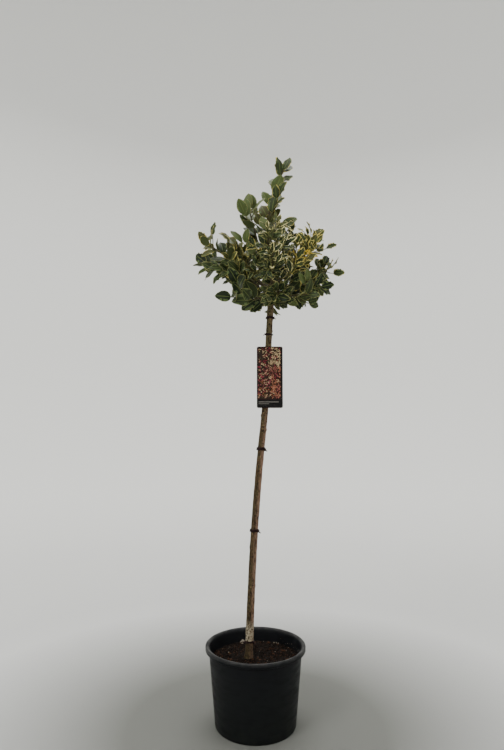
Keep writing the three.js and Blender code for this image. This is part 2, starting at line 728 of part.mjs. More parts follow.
addPart('pot', closed(bentLathe(potProfile(), POT_SIDES, upright(0, 0))), 'pot');
addPart('soil', closed(bentLathe(soilProfile(), SOIL_SIDES, upright(0, 0))), 'soil');
addPart('trunk', geometryOf(trunkSolid), 'bark');
TIE_HEIGHTS.forEach((height, k) => {
  addPart(`tie_${k + 1}`, geometryOf(tieSolid(height, TIE_TURNS[k % 2])), 'tie');
});
addPart('label', closed(labelGeometry()), 'label');
addPart('label_strap', geometryOf(strapSolid()), 'tie');

for (const limb of LIMBS) {
  addPart(`bough_${limb.name}`, geometryOf(boughSolid(limb)), 'bough');
  const look = limb.name === 'upper_right' ? 'gold' : 'leaf';
  addPart(`foliage_${limb.name}`, geometryOf(massSolid(limb)), look);
}

export default plant;
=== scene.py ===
"""Looks of a potted variegated holly standard, over its CAD frame.

Lengths are millimetres in the frame's own axes, and MM turns them into Blender's metres where a
mesh is made. The crown grows by the rule of the part's source and is then carried on to finer
twigs. Colours are given as sRGB values from 0 to 255.
"""

import math
from dataclasses import dataclass, field

import bpy
import numpy as np
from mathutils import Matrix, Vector, noise


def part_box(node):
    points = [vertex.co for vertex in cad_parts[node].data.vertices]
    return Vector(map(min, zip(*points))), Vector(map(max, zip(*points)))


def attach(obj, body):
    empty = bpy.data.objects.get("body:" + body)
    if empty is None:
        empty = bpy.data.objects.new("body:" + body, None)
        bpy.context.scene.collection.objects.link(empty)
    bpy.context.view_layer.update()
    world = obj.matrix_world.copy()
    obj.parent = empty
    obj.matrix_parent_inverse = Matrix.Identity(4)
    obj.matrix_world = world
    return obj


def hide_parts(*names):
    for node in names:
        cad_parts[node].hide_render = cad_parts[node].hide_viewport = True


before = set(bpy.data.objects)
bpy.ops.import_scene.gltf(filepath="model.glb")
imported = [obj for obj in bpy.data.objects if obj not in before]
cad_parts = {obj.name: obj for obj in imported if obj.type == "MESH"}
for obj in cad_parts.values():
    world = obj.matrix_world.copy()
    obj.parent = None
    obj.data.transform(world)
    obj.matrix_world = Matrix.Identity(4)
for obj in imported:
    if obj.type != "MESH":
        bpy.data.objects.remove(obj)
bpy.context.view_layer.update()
MM = 0.001

# ------------------------------------------------------------------ sizes read from the frame


def node_box(node):
    """Lowest and highest corner of a CAD node, in millimetres."""
    low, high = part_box(node)
    return np.array(low) / MM, np.array(high) / MM


def nodes_named(start):
    return [name for name in sorted(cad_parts) if name.startswith(start)]


POT_RIM_RADIUS, _, POT_TOP = node_box("pot")[1]
SOIL_TOP = node_box("soil")[1][2]
LABEL_LOW, LABEL_HIGH = node_box("label")
STRAP_LOW, STRAP_HIGH = node_box("label_strap")
TRUNK_FOOT = node_box("trunk")[0][2]

# ------------------------------------------------------------------ driving sizes of the crown

TRUNK_STEP = 177.5                  # height between two points of the stem's lean
TRUNK_X = (-19, -12, -2.5, 12, 29.5, 38.5, 48.5)
TRUNK_Y = (-20, -21, -20, -19, -20, -20, -20)
TRUNK_TOP = TRUNK_FOOT + TRUNK_STEP * (len(TRUNK_X) - 1)
TRUNK_FOOT_RADIUS = 11
TRUNK_TAPER, TRUNK_TAPER_LENGTH = 2, 850
FLARE_RADIUS, FLARE_HEIGHT = 1.6, 14
HEAD_SWELL, HEAD_HEIGHT, HEAD_SPREAD = 1.1, 1215, 55

# Radius at the trunk, bare share, share with twigs, steps of twigs and leaves, tilt of leaves.
SIDE_HABIT = {"radius": 3.1, "bare": 0.18, "twig_zone": 1.0, "twig_step": 26, "leaf_step": 16.5,
              "leaf_tilt": 52}
HABITS = {
    "leader": {"radius": 4.2, "bare": 0.3, "twig_zone": 0.45, "twig_step": 26, "leaf_step": 17.5,
               "leaf_tilt": 37},
    "lower_left": SIDE_HABIT | {"twig_step": 44, "leaf_step": 28},
}
TIP_RADIUS = 1.5
LIMB_STEPS = 16
LEADER_BEND = np.array([-40, 0, 0.57])      # the height as a share of its rise
CROWN_FOOT = 1151                   # no leaf hangs lower
CROWN_MIDDLE = 1295
HEAD_STEP = 14                      # between two points of the trunk that leaves keep clear of

GOLDEN_ANGLE = math.radians(137.508)
SEED = 4021                         # for what the solids don't have
STEM_LEAF_TURN = 1                  # from a stem's first twig to its first leaf
TWIG_START, STEM_LEAF_START, TWIG_LEAF_START = 0.35, 0.35, 0.45    # in steps
TWIG_TESTS = (0.3, 0.5, 0.75, 1)
TWIG_LONG, TWIG_SHORT = 72, 32
TWIG_SPREAD, TWIG_LIFT, TWIG_BEND = math.radians(50), 0.2, 0.55
TWIG_RADIUS, TWIG_TIP_RADIUS = 1.45, 0.95
TWIG_SWAY = {"angle": 0.5, "spread": 0.3, "reach": 0.4}
STEM_LEAF = {"angle": 0.4, "tilt": 0.3, "scale": 1.0, "sway": 0.3}
TWIG_LEAF = {"angle": 0.4, "tilt": 0.3, "scale": 0.95, "sway": 0.35}

LEAF_LENGTH, LEAF_HALF_WIDTH = 44.5, 13.4
LEAF_DROOP, LEAF_LIFT = 0.1, 0.12
STALK_LENGTH, STALK_HALF_WIDTH = 6.5, 0.9
TIP_LEAF_TILT, TIP_LEAF_SCALE = 0.13, 0.92
LEAF_SCALES = {
    "leader": 1.08, "upper_left": 1.12, "right": 0.84, "lower_right": 0.86, "upper_right": 0.86,
    "front": 0.82, "upper_front": 0.82, "lower_front": 0.88,
}
# Rows of a blade: its share of the length and of the half width.
BLADE = np.array([(0, STALK_HALF_WIDTH / LEAF_HALF_WIDTH), (0.3, 0.94), (0.7, 0.86), (1, 0)])
FACE_OUT, FACE_SWAY, FACE_PLACE = 0.55, 0.7, 0.7
FACE_BIAS = np.array([0, -0.45, 0.35])

SPACE_MARGIN, TRUNK_CLEARANCE, BOUGH_CLEARANCE = 1.2, 11.5, 1.5
TURNS = (0, 0.8, -0.8, 1.6)
SHRINKS = (1, 0.72, 0.5)
STEM_SPRAY = 4                      # leaves of a stem that make one spray

# ---- finer twigs than the solids have, in the crown's inner part
SPRIG_SEED = 7000
SPRIG_STEP = 16                     # along a twig or stem
SPRIG_STEM_REACH = 150              # length that a stem counts with
SPRIG_STEM_START, SPRIG_TWIG_START, SPRIG_END = 0.05, 0.2, 0.92    # the first is past the bare part
SPRIG_LONG, SPRIG_SHORT = 34, 20
SPRIG_SPREAD = math.radians(56)
SPRIG_SWAY = {"angle": 0.6, "spread": 0.4}
SPRIG_ZONE = 128                    # none starts further than this from the crown's axis
SPRIG_RADIUS, SPRIG_TIP_RADIUS = 0.95, 0.7
SPRIG_LEAF = {"angle": 0.5, "tilt": 0.4, "scale": 0.74, "sway": 0.34}
SPRIG_LEAF_PLACES = (0.75, 0.4)     # below the one at the tip
SPRIG_LEAF_TURN, SPRIG_LEAF_TILT, SPRIG_TIP_TILT = 1.2, 0.95, 0.2
WITHOUT_SPRIGS = ("leader", "upper_left", "lower_left", "right", "lower_right")

UP = np.array([0.0, 0.0, 1.0])
ACROSS = np.array([1.0, 0.0, 0.0])

# ------------------------------------------------------------------ curves


def unit(vector):
    return vector / np.linalg.norm(vector)


def smooth_value(values, t):
    """Catmull-Rom value at t, counted in points."""
    last = len(values) - 1
    i = min(int(t), last - 1)
    f = t - i
    before = values[i - 1] if i > 0 else 2 * values[0] - values[1]
    after = values[i + 2] if i + 2 <= last else 2 * values[last] - values[last - 1]
    slope_in, slope_out = (values[i + 1] - before) / 2, (after - values[i]) / 2
    return (
        (2 * f**3 - 3 * f**2 + 1) * values[i] + (f**3 - 2 * f**2 + f) * slope_in
        + (3 * f**2 - 2 * f**3) * values[i + 1] + (f**3 - f**2) * slope_out
    )


def trunk_at(height):
    t = min(max((height - TRUNK_FOOT) / TRUNK_STEP, 0), len(TRUNK_X) - 1)
    return np.array([smooth_value(TRUNK_X, t), smooth_value(TRUNK_Y, t), height])


def trunk_radius(height):
    grown = height - TRUNK_FOOT
    taper = TRUNK_TAPER * min(grown / TRUNK_TAPER_LENGTH, 1)
    flare = FLARE_RADIUS * math.exp(-grown / FLARE_HEIGHT)
    head = HEAD_SWELL * math.exp(-(((height - HEAD_HEIGHT) / HEAD_SPREAD) ** 2))
    return TRUNK_FOOT_RADIUS - taper + flare + head


def point_on(path, t):
    return path[0] * (1 - t) ** 2 + path[1] * 2 * t * (1 - t) + path[2] * t * t


def points_on(path, shares):
    return np.array([point_on(path, t) for t in shares])


def direction_on(path, t):
    return unit((path[1] - path[0]) * (1 - t) + (path[2] - path[1]) * t)


def stretches(line):
    """Both ends of each stretch of a line."""
    return np.stack([line[:-1], line[1:]], 1)


def around(axis, angle):
    """A unit direction square to an axis, turned about it by an angle."""
    first = unit(np.cross(UP if abs(axis[2]) < 0.85 else ACROSS, axis))
    return first * math.cos(angle) + np.cross(axis, first) * math.sin(angle)


def leaning(axis, tilt, angle):
    return axis * math.cos(tilt) + around(axis, angle) * math.sin(tilt)


@dataclass
class Limb:
    """One bough and the stem of the foliage that carries on from it."""

    name: str
    height: float                   # where it leaves the trunk
    azimuth: float                  # degrees from +X towards +Y
    reach: float                    # sideways, to its tip
    tip: float                      # height of its tip
    arch: float                     # rise of its middle over the straight line
    seed: int

    def __post_init__(self):
        self.habit = HABITS.get(self.name, SIDE_HABIT)
        self.leaf_scale = LEAF_SCALES.get(self.name, 1)
        start = trunk_at(self.height)
        angle = math.radians(self.azimuth)
        end = start + self.reach * np.array([math.cos(angle), math.sin(angle), 0])
        end[2] = self.tip
        middle = (start + end) / 2 + UP * self.arch
        if self.name == "leader":
            middle = start + LEADER_BEND * (1, 1, self.tip - start[2])
        self.path = [start, middle, end]
        self.line = points_on(self.path, np.arange(LIMB_STEPS + 1) / LIMB_STEPS)
        self.length = np.linalg.norm(np.diff(self.line, axis=0), axis=1).sum()
        self.bare_line = self.line[: math.ceil(self.habit["bare"] * LIMB_STEPS) + 1]

    def radius(self, t):
        return self.habit["radius"] + (TIP_RADIUS - self.habit["radius"]) * t


LIMBS = [
    Limb("leader", TRUNK_TOP, 4, 36, 1576, 0, seed=244),
    Limb("upper_left", 1226, 214, 78, 1434, -16, seed=11),
    Limb("left_high", 1208, 186, 184, 1346, 2, seed=11),
    Limb("left_low", 1190, 170, 190, 1294, 50, seed=422),
    Limb("lower_left", 1178, 204, 120, 1181, 14, seed=233),
    Limb("lower_front", 1173, 285, 84, 1192, 10, seed=85),
    Limb("lower_right", 1184, 326, 120, 1184, 8, seed=226),
    Limb("right", 1195, 0, 174, 1280, -14, seed=14),
    Limb("upper_right", 1218, 348, 128, 1344, -8, seed=525),
    Limb("upper_back", 1230, 64, 72, 1372, -12, seed=96),
    Limb("front", 1203, 270, 156, 1278, 2, seed=201),
    Limb("upper_front", 1224, 262, 96, 1352, -8, seed=105),
    Limb("back", 1206, 92, 158, 1308, 2, seed=16),
    Limb("back_left", 1216, 134, 148, 1318, 0, seed=178),
    Limb("back_right", 1207, 44, 156, 1272, 6, seed=33),
    Limb("lower_back", 1181, 90, 116, 1226, 14, seed=128),
]
CROWN_AXIS = trunk_at(TRUNK_TOP)[:2]
FACE_CENTRE = np.array([*CROWN_AXIS, CROWN_MIDDLE])

# ------------------------------------------------------------------ growth rule


def seeded(seed):
    """Repeatable numbers from 0 to 1, the same as the solids' rule draws."""
    mask = 0xFFFFFFFF
    state = seed & mask

    def draw():
        nonlocal state
        state = (state + 0x6D2B79F5) & mask
        t = ((state ^ (state >> 15)) * (state | 1)) & mask
        t ^= (t + (((t ^ (t >> 7)) * (t | 61)) & mask)) & mask
        return (t ^ (t >> 14)) / 4294967296

    return draw


def varying(draw):
    """A function that draws a value about a middle."""
    return lambda middle, spread: middle + (draw() - 0.5) * spread


def distances(points, starts, ends):
    """Distance of each point to each stretch of a line."""
    spans = ends - starts
    offsets = points[:, None] - starts
    along = np.clip((offsets * spans).sum(-1) / (spans * spans).sum(-1), 0, 1)
    return np.linalg.norm(offsets - along[..., None] * spans, axis=-1)


def distance_to_line(points, line):
    return distances(points, line[:-1], line[1:]).min(1)


ALL_STARTS = np.concatenate([limb.line[:-1] for limb in LIMBS])
ALL_ENDS = np.concatenate([limb.line[1:] for limb in LIMBS])
HEAD_HEIGHTS = np.arange(CROWN_FOOT - 50, TRUNK_TOP, HEAD_STEP)
HEAD_LINE = np.array([trunk_at(height) for height in HEAD_HEIGHTS])


def in_space(points, own):
    """Whether all points lie nearer to their own limb than to any other, clear of the trunk."""
    if points[:, 2].min() < CROWN_FOOT:
        return False
    if distance_to_line(points, HEAD_LINE).min() < TRUNK_CLEARANCE:
        return False
    if distance_to_line(points, own.bare_line).min() < own.habit["radius"] + BOUGH_CLEARANCE:
        return False
    near = distances(points, ALL_STARTS, ALL_ENDS).reshape(len(points), len(LIMBS), -1).min(2)
    mine = LIMBS.index(own)
    others = np.delete(near, mine, axis=1).min(1)
    return bool((others > near[:, mine] + 2 * SPACE_MARGIN).all())


@dataclass
class Leaf:
    """A leaf as the solids have it, which scene.py gives its detail."""

    base: np.ndarray
    axis: np.ndarray                # from stalk to tip
    face: np.ndarray                # the way its upper side looks
    scale: float
    stalk: float
    spray: int                      # number of the spray of its mass that it grows in

    def __post_init__(self):
        self.normal = unit(self.face - self.axis * self.face.dot(self.axis))
        self.side = np.cross(self.normal, self.axis)
        length = LEAF_LENGTH * self.scale
        along, half = BLADE[:, :1], BLADE[:, 1:] * LEAF_HALF_WIDTH * self.scale
        self.middle = (
            self.base + self.axis * (self.stalk + along * length)
            - self.normal * LEAF_DROOP * length * along**2
        )
        half[0] = 0
        self.left, self.right = self.middle - self.side * half, self.middle + self.side * half

    def points(self):
        return np.concatenate([self.left, self.right, self.middle])

    def edges(self):
        return np.concatenate([stretches(line) for line in (self.left, self.right, self.middle)])

    def triangles(self):
        middle = self.middle
        return np.array([
            triangle for edge in (self.left, self.right) for triangle in (
                (edge[0], edge[1], middle[1]), (edge[1], middle[2], middle[1]),
                (edge[1], edge[2], middle[2]), (edge[2], middle[3], middle[2]),
            )
        ])


def crosses(edges, triangles):
    """Whether any edge passes through any triangle."""
    starts, ways = edges[:, None, 0], edges[:, None, 1] - edges[:, None, 0]
    corner, first, second = (
        triangles[:, 0], triangles[:, 1] - triangles[:, 0], triangles[:, 2] - triangles[:, 0]
    )
    square = np.cross(ways, second)
    scale = (first * square).sum(-1)
    scale = np.where(np.abs(scale) < 1e-12, 1e-12, scale)
    offset = starts - corner
    u = (offset * square).sum(-1) / scale
    turned = np.cross(offset, first)
    v = (ways * turned).sum(-1) / scale
    t = (second * turned).sum(-1) / scale
    return bool(((u >= 0) & (v >= 0) & (u + v <= 1) & (t >= 0) & (t < 1)).any())


@dataclass
class Mass:
    """The foliage of one limb: its twigs, finer sprigs and leaves."""

    limb: Limb
    twigs: list = field(default_factory=list)
    sprigs: list = field(default_factory=list)
    leaves: list = field(default_factory=list)
    spray: int = 0                  # the one that grows: a twig's, a sprig's or a few on the stem

    def __post_init__(self):
        self.stems = [stretches(self.limb.line[int(self.limb.habit["bare"] * LIMB_STEPS):])]

    def add_stem(self, path):
        self.stems.append(stretches(points_on(path, (0, 0.25, 0.5, 0.75, 1))))

    def is_blocked(self, leaf):
        triangles = leaf.triangles()
        if crosses(np.concatenate(self.stems), triangles):
            return True
        if not self.leaves:
            return False
        others = np.concatenate([other.edges() for other in self.leaves])
        nets = np.concatenate([other.triangles() for other in self.leaves])
        return crosses(others, triangles) or crosses(leaf.edges(), nets)

    def grow_leaf(self, path, t, angle, tilt, turn, strength, scale, stalk):
        """Adds a leaf in the first of its turns that keeps to the space and crosses nothing."""
        base, along = point_on(path, t), direction_on(path, t)
        for more in TURNS:
            axis = unit(leaning(along, tilt, angle + more) + UP * LEAF_LIFT)
            out = unit(base + axis * FACE_PLACE * LEAF_LENGTH - FACE_CENTRE)
            sway = np.array([math.cos(turn * math.tau), math.sin(turn * math.tau), 0])
            face = unit(out * FACE_OUT + FACE_BIAS + sway * FACE_SWAY * strength)
            leaf = Leaf(base, axis, face, scale * self.limb.leaf_scale, stalk, self.spray)
            if in_space(leaf.points(), self.limb) and not self.is_blocked(leaf):
                self.leaves.append(leaf)
                return

    def grow_twig(self, path, t, angle, spread, reach):
        """The longest twig that keeps to the space, or None."""
        base, along = point_on(path, t), direction_on(path, t)
        for shrink in SHRINKS:
            for more in TURNS:
                length = reach * shrink
                out = leaning(along, spread, angle + more)
                end = base + out * length + UP * TWIG_LIFT * length
                twig = [base, base + out * TWIG_BEND * length, end]
                if in_space(points_on(twig, TWIG_TESTS), self.limb):
                    return twig, length
        return None


def grow_mass(limb):
    """The solids' own twigs and leaves: the same draws in the same order."""
    mass = Mass(limb)
    draw = seeded(limb.seed)
    vary = varying(draw)
    habit = limb.habit
    bare, zone, step = habit["bare"], habit["twig_zone"], habit["leaf_step"] * limb.leaf_scale
    tilt = math.radians(habit["leaf_tilt"])
    length = (1 - bare) * limb.length

    def on_stem(share):
        return bare + (1 - bare) * share

    def add_leaf(path, t, angle, tilt, scale, stalk=STALK_LENGTH):
        turn, strength = draw(), draw()
        mass.grow_leaf(path, t, angle, tilt, turn, strength, scale, stalk)

    def add_tip_leaf(path):
        add_leaf(path, 1, vary(0, math.tau), TIP_LEAF_TILT, TIP_LEAF_SCALE, STALK_LENGTH - 2)

    def add_side_leaf(path, t, angle, like):
        turned = vary(angle, like["angle"])
        tilted = vary(tilt, like["tilt"])
        add_leaf(path, t, turned, tilted, vary(like["scale"], like["sway"]))

    phase = vary(0, math.tau)
    count = max(2, math.floor(zone * length / habit["twig_step"] + 0.5))
    for k in range(count):
        share = zone * (k + TWIG_START) / count
        angle = vary(phase + k * GOLDEN_ANGLE, TWIG_SWAY["angle"])
        spread = vary(TWIG_SPREAD, TWIG_SWAY["spread"])
        reach = (TWIG_LONG + (TWIG_SHORT - TWIG_LONG) * share) * vary(1, TWIG_SWAY["reach"])
        twig = mass.grow_twig(limb.path, on_stem(share), angle, spread, reach)
        if twig:
            mass.twigs.append(twig)
    for path, _ in mass.twigs:
        mass.add_stem(path)

    add_tip_leaf(limb.path)
    count = math.floor(length / step)
    for k in range(count):
        mass.spray = (k + 1) // STEM_SPRAY
        share = 1 - (k + STEM_LEAF_START) / count
        turn = phase + STEM_LEAF_TURN + k * GOLDEN_ANGLE
        add_side_leaf(limb.path, on_stem(share), turn, STEM_LEAF)
    for path, reach in mass.twigs:
        mass.spray += 1
        add_tip_leaf(path)
        twig_phase = vary(0, math.tau)
        for k in range(max(1, math.floor((reach - STALK_LENGTH) / step))):
            share = 1 - (k + TWIG_LEAF_START) * step / reach
            add_side_leaf(path, share, twig_phase + k * GOLDEN_ANGLE, TWIG_LEAF)
    return mass


def grow_sprigs(mass):
    """Carries a mass on to finer twigs with smaller leaves, by the same rule."""
    draw = seeded(mass.limb.seed + SPRIG_SEED)
    vary = varying(draw)

    def add_leaf(path, t, angle, tilt, stalk):
        turn, strength = draw(), draw()
        scale = vary(SPRIG_LEAF["scale"], SPRIG_LEAF["sway"])
        mass.grow_leaf(path, t, angle, tilt, turn, strength, scale, stalk)

    stem_start = mass.limb.habit["bare"] + SPRIG_STEM_START
    hosts = [(mass.limb.path, stem_start, SPRIG_STEM_REACH)]
    hosts += [(path, SPRIG_TWIG_START, reach) for path, reach in mass.twigs]
    for path, start, reach in hosts:
        count = max(1, round(reach / SPRIG_STEP))
        phase = vary(0, math.tau)
        for k in range(count):
            share = start + (SPRIG_END - start) * (k + 0.5) / count
            long = vary((SPRIG_LONG + SPRIG_SHORT) / 2, SPRIG_LONG - SPRIG_SHORT)
            angle = vary(phase + k * GOLDEN_ANGLE, SPRIG_SWAY["angle"])
            spread = vary(SPRIG_SPREAD, SPRIG_SWAY["spread"])
            if np.linalg.norm(point_on(path, share)[:2] - CROWN_AXIS) > SPRIG_ZONE:
                continue
            sprig = mass.grow_twig(path, share, angle, spread, long)
            if not sprig:
                continue
            mass.sprigs.append(sprig)
            mass.spray += 1
            mass.add_stem(sprig[0])
            add_leaf(sprig[0], 1, vary(0, math.tau), SPRIG_TIP_TILT, STALK_LENGTH - 2.5)
            for j, t in enumerate(SPRIG_LEAF_PLACES):
                turned = vary(angle + SPRIG_LEAF_TURN + j * GOLDEN_ANGLE, SPRIG_LEAF["angle"])
                tilted = vary(SPRIG_LEAF_TILT, SPRIG_LEAF["tilt"])
                add_leaf(sprig[0], t, turned, tilted, STALK_LENGTH - 1.5)


# ------------------------------------------------------------------ meshes


def relief(points, size, seed=0, octaves=2):
    """Smooth noise at each point, about -1 to 1, with bumps about size across."""
    shift = Vector((7.3, 3.1, 5.7)) * seed
    return np.array([noise.fractal(Vector(p) / size + shift, 1.0, 2.0, octaves) for p in points])


def smooth_mesh(name, points, faces, material):
    mesh = bpy.data.meshes.new(name)
    mesh.from_pydata(points.tolist(), [], faces)
    mesh.shade_smooth()
    mesh.materials.append(material)
    return mesh


def placed(name, data):
    """A new object in the scene."""
    item = bpy.data.objects.new(name, data)
    bpy.context.scene.collection.objects.link(item)
    return item


class Piece:
    """Points and faces of one kind, collected and then made into one object."""

    def __init__(self, name, material, slot, nodes=()):
        self.name, self.material, self.slot, self.nodes = name, material, slot, nodes
        self.points, self.faces, self.normals, self.count = [], [], [], 0

    def add(self, points, faces, normals=None):
        self.points.append(points)
        self.faces.extend([corner + self.count for corner in face] for face in faces)
        if normals is not None:
            self.normals.append(normals)
        self.count += len(points)

    def make(self, sharp=None):
        points = np.concatenate(self.points) * MM
        mesh = smooth_mesh(self.name, points, self.faces, self.material)
        if sharp is not None:
            mesh.set_sharp_from_angle(angle=math.radians(sharp))
        if self.normals:
            mesh.normals_split_custom_set_from_vertices(np.concatenate(self.normals).tolist())
        piece = placed(self.name, mesh)
        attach(piece, "root")
        if self.nodes:
            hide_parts(*self.nodes)


def circle(sides):
    """Cosines and sines of points round a circle."""
    angles = np.arange(sides) * math.tau / sides
    return np.cos(angles), np.sin(angles)


def grid_faces(rows, columns, wrap=False):
    """Quads of a grid of points, row by row; wrap joins the last column to the first."""
    row, column = np.mgrid[0:rows - 1, 0:columns - (0 if wrap else 1)]
    near = row * columns + column
    side = row * columns + (column + 1) % columns
    return np.stack([near, side, side + columns, near + columns], -1).reshape(-1, 4)


def capped(points, sides):
    """Faces of rings of points that close at both ends."""
    faces = grid_faces(len(points) // sides, sides, wrap=True).tolist()
    return [*faces, [*range(sides)][::-1], [*range(len(points) - sides, len(points))]]


def tube(centres, radii, sides):
    """A round tube with closed ends; radii has one value a ring, or one a point."""
    centres = np.asarray(centres, float)
    radii = np.asarray(radii, float).reshape(len(centres), -1) * np.ones((1, sides))
    ways = np.gradient(centres, axis=0)
    ways /= np.linalg.norm(ways, axis=1, keepdims=True)
    side, firsts = around(ways[0], 0), []
    for way in ways:                # each turns as little as it can from the one before
        side = unit(side - way * side.dot(way))
        firsts.append(side)
    firsts = np.array(firsts)
    seconds = np.cross(ways, firsts)
    x, y = circle(sides)
    ring = firsts[:, None] * x[:, None] + seconds[:, None] * y[:, None]
    points = (centres[:, None] + ring * radii[..., None]).reshape(-1, 3)
    return points, capped(points, sides)


def lathe(profile, sides):
    """A turned surface; the profile runs from near the axis and back to it, as (radius, height)."""
    profile = np.array(profile, float)
    x, y = (profile[:, :1] * way for way in circle(sides))
    z = np.repeat(profile[:, 1:], sides, axis=1)
    points = np.stack([x, y, z], -1).reshape(-1, 3)
    return points, capped(points, sides)


def blob(centre, axis, radius, length, sides=6, rings=4):
    """A small pointed body, such as a bud."""
    shares = np.linspace(0, 1, rings + 1)
    centres = centre + np.outer(shares * length, axis)
    radii = radius * np.sin(math.pi * (0.12 + 0.86 * shares)) ** 0.8
    return tube(centres, radii, sides)


# ------------------------------------------------------------------ materials


def linear(red, green, blue):
    """A linear colour from an sRGB one of 0 to 255."""
    shares = np.array([red, green, blue]) / 255
    return (*np.where(shares < 0.04045, shares / 12.92, ((shares + 0.055) / 1.055) ** 2.4), 1.0)


class Finish:
    """A node material on one Principled shader, with short calls for its procedural detail."""

    def __init__(self, name, colour, roughness, specular=0.5, **values):
        self.material = bpy.data.materials.new(name)
        self.material.use_nodes = True
        self.tree = self.material.node_tree
        self.shader = self.tree.nodes["Principled BSDF"]
        self.shader.inputs["Base Color"].default_value = linear(*colour)
        self.shader.inputs["Roughness"].default_value = roughness
        self.shader.inputs["Specular IOR Level"].default_value = specular
        for key, value in values.items():
            self.shader.inputs[key.replace("_", " ").title()].default_value = value
        self.place = self.node("TexCoord").outputs["Object"]

    def node(self, kind):
        return self.tree.nodes.new("ShaderNode" + kind)

    def link(self, output, socket):
        self.tree.links.new(output, socket)

    def noise(self, size, stretch=(1, 1, 1), detail=3, roughness=0.55):
        """Noise from 0 to 1 whose bumps are about size millimetres across."""
        mapping = self.node("Mapping")
        mapping.inputs["Scale"].default_value = [1 / (size * MM * k) for k in stretch]
        texture = self.node("TexNoise")
        texture.inputs["Scale"].default_value = 1
        texture.inputs["Detail"].default_value = detail
        texture.inputs["Roughness"].default_value = roughness
        self.link(self.place, mapping.inputs["Vector"])
        self.link(mapping.outputs[0], texture.inputs["Vector"])
        return texture.outputs[0]

    def spread(self, value, low, high, to_low=0.0, to_high=1.0):
        """A value stretched from one range to another and held within it."""
        node = self.node("MapRange")
        for socket, number in zip(node.inputs[1:5], (low, high, to_low, to_high), strict=True):
            socket.default_value = number
        self.link(value, node.inputs[0])
        return node.outputs[0]

    def product(self, first, second):
        node = self.node("Math")
        node.operation = "MULTIPLY"
        self.link(first, node.inputs[0])
        self.link(second, node.inputs[1])
        return node.outputs[0]

    def tint(self, colour, share, *span):
        """Lays a colour over the base colour by a share, or by a value's place in a span."""
        share = self.spread(share, *span) if span else share
        base = self.shader.inputs["Base Color"]
        node = self.node("Mix")
        node.data_type = "RGBA"
        below, above = node.inputs[6], node.inputs[7]
        if base.is_linked:
            self.link(base.links[0].from_socket, below)
        else:
            below.default_value = base.default_value
        above.default_value = linear(*colour)
        self.link(share, node.inputs[0])
        self.link(node.outputs[2], base)

    def rough(self, value, low, high):
        self.link(self.spread(value, 0.35, 0.65, low, high), self.shader.inputs["Roughness"])

    def bump(self, height, depth, strength=1.0):
        """Relief in the shading; depth is in millimetres, and bumps add up."""
        node = self.node("Bump")
        node.inputs["Strength"].default_value = strength
        node.inputs["Distance"].default_value = depth * MM
        normal = self.shader.inputs["Normal"]
        if normal.is_linked:
            self.link(normal.links[0].from_socket, node.inputs["Normal"])
        self.link(height, node.inputs["Height"])
        self.link(node.outputs[0], normal)

    def axis(self, source, index):
        """One coordinate, 0 to 2, of the place or of another vector output."""
        node = self.node("SeparateXYZ")
        self.link(source, node.inputs[0])
        return node.outputs[index]


def bark_finish():
    """Stem bark: mottled olive and brown, tan on one side, with a pale patch near its foot."""
    finish = Finish("stem_bark", (60, 47, 32), 0.85, specular=0.1)
    height = finish.axis(finish.place, 2)
    facing = finish.axis(finish.node("NewGeometry").outputs["Normal"], 0)
    streaks = finish.noise(7, stretch=(1, 1, 3), detail=5, roughness=0.65)
    mottle = finish.noise(9, stretch=(1, 1, 1.8), detail=4)
    flecks = finish.noise(3.4, stretch=(1, 1, 1.5), detail=2)
    specks = finish.noise(4.2, stretch=(1, 1, 1.3), detail=2)

    finish.tint((60, 54, 35), mottle, 0.44, 0.58, 0, 0.85)
    finish.tint((75, 70, 47), height, 980 * MM, 1090 * MM, 0, 0.75)
    sunny = finish.spread(facing, -0.15, 0.7, 0, 0.95)
    below = finish.spread(height, 960 * MM, 760 * MM, 0.3, 1)
    finish.tint((122, 96, 80), finish.product(sunny, below))
    finish.tint((24, 18, 12), streaks, 0.5, 0.62, 0, 0.85)
    finish.tint((116, 96, 68), flecks, 0.57, 0.66, 0, 0.7)
    finish.tint((22, 17, 11), specks, 0.57, 0.64, 0, 0.8)

    low, high = TRUNK_FOOT + PALE_PATCH[0], TRUNK_FOOT + PALE_PATCH[1]
    finish.tint((56, 50, 36), height, (low + 6) * MM, (low - 6) * MM, 0, 0.5)
    under = finish.spread(height, (high + 16) * MM, (high - 10) * MM)
    over = finish.spread(height, (low - 2) * MM, (low + 5) * MM)
    patch = finish.product(finish.product(under, over), finish.spread(specks, 0.58, 0.46, 0.1, 1))
    finish.tint((140, 131, 111), patch)
    finish.rough(streaks, 0.74, 0.92)
    finish.bump(streaks, 0.8)
    finish.bump(flecks, 0.4)
    return finish.material


def twig_finish(name, colour, dark, roughness=0.6):
    finish = Finish(name, colour, roughness, specular=0.2)
    mottle = finish.noise(3.5, detail=2)
    finish.tint(dark, mottle, 0.48, 0.68, 0, 0.7)
    finish.bump(mottle, 0.15)
    finish.rough(mottle, roughness - 0.1, roughness + 0.12)
    return finish.material


def leaf_finish(name, colour, roughness=0.5, coat=0.02):
    """A leathery leaf: one plain colour, with a fine pebbled surface under a waxy coat."""
    finish = Finish(name, colour, roughness, 0.1, coat_weight=coat, coat_roughness=0.2)
    pebble = finish.noise(1.1, detail=2)
    swell = finish.noise(6, detail=1)
    finish.bump(swell, 0.5, 0.6)
    finish.bump(pebble, 0.08)
    finish.rough(swell, roughness - 0.06, roughness + 0.12)
    return finish.material


